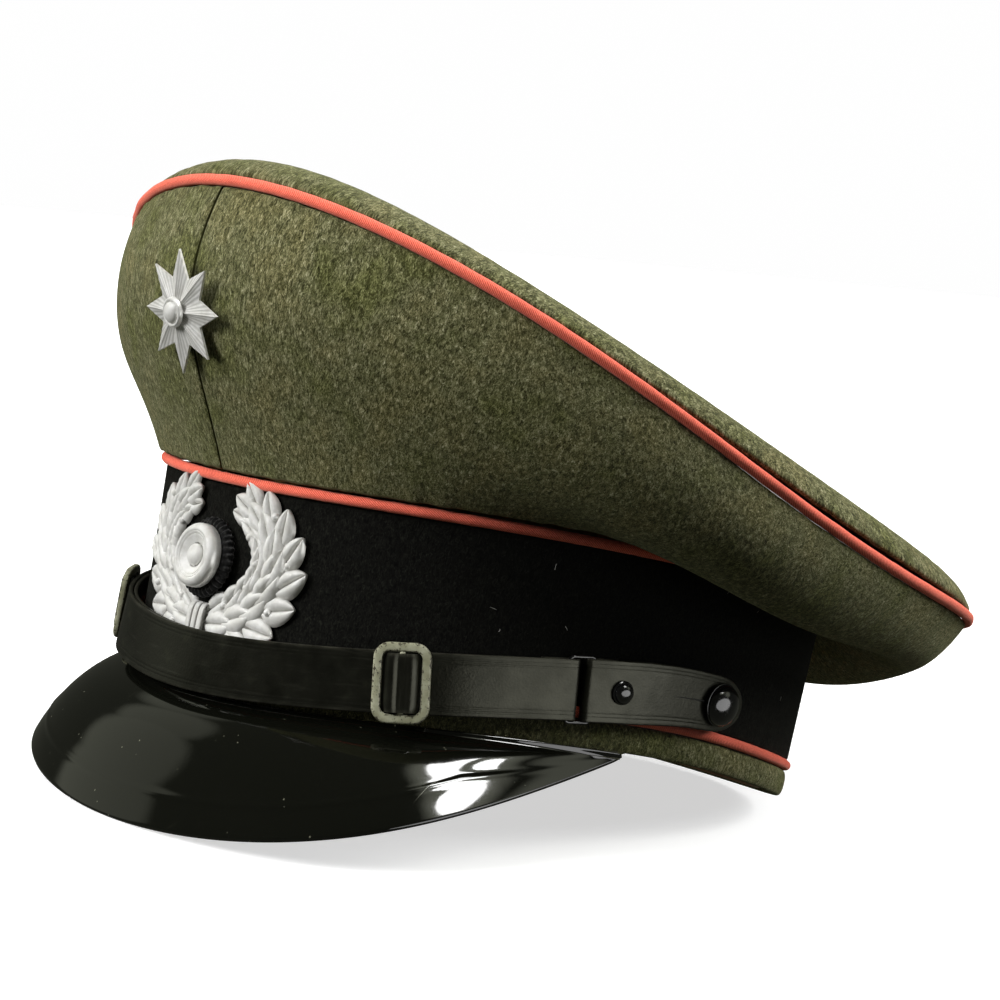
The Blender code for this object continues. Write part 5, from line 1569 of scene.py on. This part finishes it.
def star(metal):
    """A plain eight-pointed star: each ray is a ridge with two facets, and a boss sits in the middle."""
    matrix = star_frame()
    count = 2 * STAR_POINTS
    turns = np.arange(count) * 2 * math.pi / count + math.pi / 2
    shares = np.linspace(0.12, 1.0, 14)
    columns = []
    for index, turn in enumerate(turns):
        tip = index % 2 == 0
        reach = STAR_RADIUS if tip else STAR_INNER_RADIUS
        outer = 0.7 * MM
        inner = STAR_HEIGHT if tip else STAR_HEIGHT - 1.1 * MM
        radius = reach * shares
        height = inner + (outer - inner) * shares
        columns.append(join(radius * math.cos(turn), radius * math.sin(turn), height))
    corners = np.array(columns).transpose(1, 0, 2)
    between = 8
    face = np.concatenate([corners + (np.roll(corners, -1, axis=1) - corners) * step / between
                           for step in range(between)], axis=2)
    face = face.reshape(corners.shape[0], count * between, 3)
    grooves = 0.12 * MM * (np.arange(count * between) % 2)
    face[..., 2] -= grooves[None, :] * (shares[:, None] * 0.8)
    edge = face[-1].copy()
    edge[:, 2] = 0.0
    bottom = edge * 0.3
    rows = np.concatenate([face, edge[None], bottom[None]])
    # painted shade: the grooves between the rays' facets are marked to turn dull grey
    painted_shade = np.zeros(rows.shape[:2])
    painted_shade[:-2] = (np.arange(count * between) % 2)[None, :] * 0.55
    mesh = mesh_of("star_badge", moved(rows, matrix), caps=True,
                   marks={"painted_shade": painted_shade})
    add("star_badge", mesh, metal, nodes=["star_badge"], sharp=12)
    boss = 4.2 * MM
    foot = STAR_HEIGHT + 0.1 * MM
    profile = dome(2.9 * MM, 1.5 * MM, foot + 0.5 * MM)
    profile += [(3.0 * MM, foot + 0.25 * MM)]
    profile += [(3.6 * MM + 0.5 * MM * math.sin(t), foot + 0.3 * MM + 0.5 * MM * math.cos(t))
                for t in np.linspace(-1.2, math.pi / 2, 12)]
    profile += [(boss, foot - 0.4 * MM), (boss - 0.2 * MM, foot - 0.6 * MM), (0.0, foot - 0.6 * MM)]
    add("star_boss", turned("star_boss", profile, matrix, 64), metal, nodes=["star_boss"], sharp=50)


# ---------------------------------------------------------------- lining

def lining_disc(angle, radius):
    tilt = np.array(Matrix.Rotation(math.radians(-LINING_TILT), 3, "X"))
    flat = join(LINING_TOP_HALF_WIDTH * radius * np.sin(angle),
                -LINING_TOP_HALF_LENGTH * radius * np.cos(angle), 0.0)
    return LINING_TOP_CENTRE + flat @ tilt.T


def lining(finish):
    """The satin lining: gathered at the band, flat on top."""
    angle = np.linspace(0, 2 * math.pi, 480, endpoint=False)[None, :]
    share = np.linspace(0, 1, 26)[:, None, None]
    foot = band_point(angle, LINING_FOOT_HEIGHT + LINING_THICKNESS / 2, LINING_FOOT_GROWTH)
    edge = lining_disc(angle, np.array(1.0))
    wall = foot * (1 - share) + edge * share
    wall[..., 2] += 4.0 * MM * np.sin(math.pi * share[..., 0])
    gathers = ripple(angle, ((60, 0.5 * MM, 0.0), (83, 0.3 * MM, 1.0), (41, 0.3 * MM, 2.0)))
    drawn_in = (gathers + 0.9 * MM) * np.sin(math.pi * share[..., 0] ** 0.7)
    wall = wall - band_normal(angle) * drawn_in[..., None]
    disc = lining_disc(angle, np.linspace(1, 0.01, 24)[1:, None])
    face = np.concatenate([wall, disc])
    rows = disc_rows(face, grid_normals(face, wrap_columns=True), LINING_THICKNESS)
    mesh = mesh_of("crown_lining", rows, caps=True)
    return add("crown_lining", mesh, finish, nodes=["crown_lining"])


def sweat_shield(finish):
    """A thin clear sheet under the lining's top, with a rounded edge."""
    drop = LINING_THICKNESS + 0.35 * MM + SHIELD_THICKNESS / 2
    tilt = np.eye(4)
    tilt[:3, :3] = np.array(Matrix.Rotation(math.radians(-LINING_TILT), 3, "X"))
    tilt[:3, 3] = LINING_TOP_CENTRE - tilt[:3, 2] * drop
    turns = np.linspace(0, 2 * math.pi, 120, endpoint=False)
    profile = [(0.01, 0.5), (0.5, 0.5), (0.985, 0.5), (0.995, 0.35), (1.0, 0.0), (0.995, -0.35),
               (0.985, -0.5), (0.5, -0.5), (0.01, -0.5)]
    profile = np.array(profile)
    grid = join(profile[:, :1] * SHIELD_HALF_WIDTH * np.sin(turns),
                profile[:, :1] * SHIELD_HALF_LENGTH * np.cos(turns), profile[:, 1:] * SHIELD_THICKNESS)
    mesh = mesh_of("sweat_shield", moved(grid, tilt), caps=True)
    return add("sweat_shield", mesh, finish, nodes=["sweat_shield"])


# ---------------------------------------------------------------- pieces kept from the CAD model

def refinish(nodes, finish):
    for node in nodes:
        mesh = frame["nodes"][node].data
        mesh.materials.clear()
        mesh.materials.append(finish)


def sided(*stems):
    return [stem + "_" + side for stem in stems for side in ("left", "right")]


# ---------------------------------------------------------------- studio

def stage_piece(name, points, faces, material):
    mesh = bpy.data.meshes.new(name)
    mesh.from_pydata(points, [], faces)
    mesh.materials.append(material)
    piece = bpy.data.objects.new(name, mesh)
    bpy.context.scene.collection.objects.link(piece)
    piece.visible_diffuse = False
    piece.visible_glossy = False
    piece.visible_transmission = False
    return piece


def make_floor():
    """A plain pale floor that reaches the backdrop; it casts no light back on the cap."""
    f = Finish("studio_floor", (0.6, 0.6, 0.6), 0.9, Specular_IOR_Level=0.0,
               Emission_Color=(1.0, 1.0, 1.0, 1.0), Emission_Strength=FLOOR_GLOW)
    tone = f.noise(f.place("Object"), 3.0, 2.0)
    f.shade(Base_Color=f.ramp(tone, [(0.3, (0.58, 0.58, 0.58)), (0.7, (0.62, 0.62, 0.62))]))
    height = CAD_BOX[0].z - FLOOR_DROP
    size = BACKDROP_RADIUS
    corners = [(-size, -size, height), (size, -size, height), (size, size, height),
               (-size, size, height)]
    stage_piece("floor", corners, [(0, 1, 2, 3)], f.material)


def make_backdrop():
    """A round white wall far behind the cap on every side, seen only by the camera."""
    f = Finish("studio_backdrop", (0.0, 0.0, 0.0), 1.0, Specular_IOR_Level=0.0,
               Emission_Color=(1.0, 1.0, 1.0, 1.0), Emission_Strength=1.0)
    tone = f.noise(f.place("Object"), 0.5)
    f.shade(Emission_Color=f.ramp(tone, [(0.0, (0.99, 0.99, 0.99)), (1.0, (1.0, 1.0, 1.0))]))
    steps = 48
    turns = [2 * math.pi * i / steps for i in range(steps)]
    points = [(BACKDROP_RADIUS * math.cos(t), BACKDROP_RADIUS * math.sin(t), z * BACKDROP_RADIUS)
              for z in (-0.6, 1.2) for t in turns]
    faces = [(i, (i + 1) % steps, steps + (i + 1) % steps, steps + i) for i in range(steps)]
    faces.append(tuple(range(steps, 2 * steps)))
    wall = stage_piece("backdrop", points, faces, f.material)
    wall.visible_shadow = False


def make_world():
    """A dim room with soft patches of light for the gloss to reflect."""
    world = bpy.data.worlds.new("studio")
    bpy.context.scene.world = world
    world.use_nodes = True
    tree = world.node_tree
    background = tree.nodes["Background"]

    def node(kind, **settings):
        made = tree.nodes.new(kind)
        for key, value in settings.items():
            setattr(made, key, value)
        return made

    place = node("ShaderNodeTexCoord").outputs["Generated"]
    split = node("ShaderNodeSeparateXYZ")
    rise = node("ShaderNodeMapRange")
    rise.inputs["From Min"].default_value = -1.0
    ramp = node("ShaderNodeValToRGB")
    tree.links.new(place, split.inputs["Vector"])
    tree.links.new(split.outputs["Z"], rise.inputs["Value"])
    tree.links.new(rise.outputs["Result"], ramp.inputs["Fac"])
    points = ramp.color_ramp.elements
    while len(points) < len(ROOM_TONES):
        points.new(0.5)
    for point, (spot, tone) in zip(points, ROOM_TONES):
        point.position = spot
        point.color = (tone, tone, tone, 1.0)
    light = ramp.outputs["Color"]
    for azimuth, elevation, bright, faded, strength in ROOM_LIGHTS:
        facing = node("ShaderNodeVectorMath", operation="DOT_PRODUCT")
        facing.inputs[1].default_value = direction(azimuth, elevation)
        tree.links.new(place, facing.inputs[0])
        fade = node("ShaderNodeMapRange", interpolation_type="SMOOTHSTEP")
        fade.inputs["From Min"].default_value = math.cos(math.radians(faded))
        fade.inputs["From Max"].default_value = math.cos(math.radians(bright))
        fade.inputs["To Max"].default_value = strength
        tree.links.new(facing.outputs["Value"], fade.inputs["Value"])
        brighter = node("ShaderNodeMath", operation="MAXIMUM")
        tree.links.new(light, brighter.inputs[0])
        tree.links.new(fade.outputs["Result"], brighter.inputs[1])
        light = brighter.outputs["Value"]
    tint = node("ShaderNodeVectorMath", operation="MULTIPLY")
    tint.inputs[1].default_value = ROOM_TINT
    tree.links.new(light, tint.inputs[0])
    tree.links.new(tint.outputs["Vector"], background.inputs["Color"])
    background.inputs["Strength"].default_value = 1.0


def direction(azimuth, elevation):
    """Towards a place seen from the cap: azimuth 0 is the front, 90 the wearer's left."""
    a, e = math.radians(azimuth), math.radians(elevation)
    return Vector((math.sin(a) * math.cos(e), -math.cos(a) * math.cos(e), math.sin(e)))


def aim(item, azimuth, elevation, distance):
    way = direction(azimuth, elevation)
    item.location = Vector((0, 0, 0.08)) + way * distance
    item.rotation_mode = "QUATERNION"
    item.rotation_quaternion = way.to_track_quat("Z", "Y")


def add_light(name, kind, azimuth, elevation, distance, power, **settings):
    light = bpy.data.lights.new(name, kind)
    light.energy = power
    for key, value in settings.items():
        setattr(light, key, value)
    item = bpy.data.objects.new(name, light)
    bpy.context.scene.collection.objects.link(item)
    item.visible_camera = False
    aim(item, azimuth, elevation, distance)
    return item


def make_lights():
    """Three soft lights for the cloth, and three that only the gloss picks up."""
    for name, azimuth, elevation, strength, spread in SOFT_LIGHTS:
        light = add_light(name, "SUN", azimuth, elevation, 3.0, strength, angle=math.radians(spread))
        light.visible_glossy = False
    for name, azimuth, elevation, distance, width, height, radiance in GLOSS_LIGHTS:
        power = math.pi * width * height * radiance
        light = add_light(name, "AREA", azimuth, elevation, distance, power, shape="ELLIPSE",
                          size=width, size_y=height)
        light.visible_diffuse = False


def make_camera():
    """The camera was placed round a cap pitched by VIEW_PITCH, so it is turned back with it."""
    back = direction(VIEW_AZIMUTH, VIEW_ELEVATION)
    right = Vector((math.cos(math.radians(VIEW_AZIMUTH)), math.sin(math.radians(VIEW_AZIMUTH)), 0.0))
    up = back.cross(right)
    target = right * VIEW_TARGET_ACROSS + Vector((0, 0, VIEW_TARGET_HEIGHT))
    basis = Matrix((right, up, back)).transposed().to_4x4()
    pitched = Matrix.Translation(target + back * VIEW_DISTANCE) @ basis
    unpitch = Matrix.Rotation(math.radians(VIEW_PITCH), 4, "X")
    camera = bpy.data.objects.new("camera", bpy.data.cameras.new("camera"))
    bpy.context.scene.collection.objects.link(camera)
    camera.matrix_world = Matrix(REST.tolist()) @ unpitch @ pitched
    camera.data.lens = LENS
    camera.data.sensor_width = SENSOR
    camera.data.clip_start = 0.01
    camera.data.clip_end = 200.0
    bpy.context.scene.camera = camera


def build():
    wool = melton()
    black = black_wool()
    cord = coral()
    hide = leather()
    metal = silver()
    metal_steel = steel()
    board = fibre_board()
    make_crown(wool, cord)
    make_band(black, wool, tan_leather())
    lint(lint_thread())
    peak(lacquer(), underside())
    # painted shade: the black inside the tab's slit
    slit_shade = thread_and_slit_shade("black_leather", (0.002, 0.002, 0.002))
    make_strap(hide, worn_paint(), black_enamel(), slit_shade)
    wreath(metal)
    rosette(ribbed_cloth(), metal)
    star(metal)
    lining(satin())
    sweat_shield(clear_sheet())
    refinish(["band_stiffener", "front_stay"], board)
    refinish(["crown_wire_hoop"] + sided("button_washer", "wreath_prong", "star_prong"), metal_steel)
    make_floor()
    make_backdrop()
    make_world()
    make_lights()
    make_camera()
    bpy.context.scene.view_settings.view_transform = "Standard"


build()
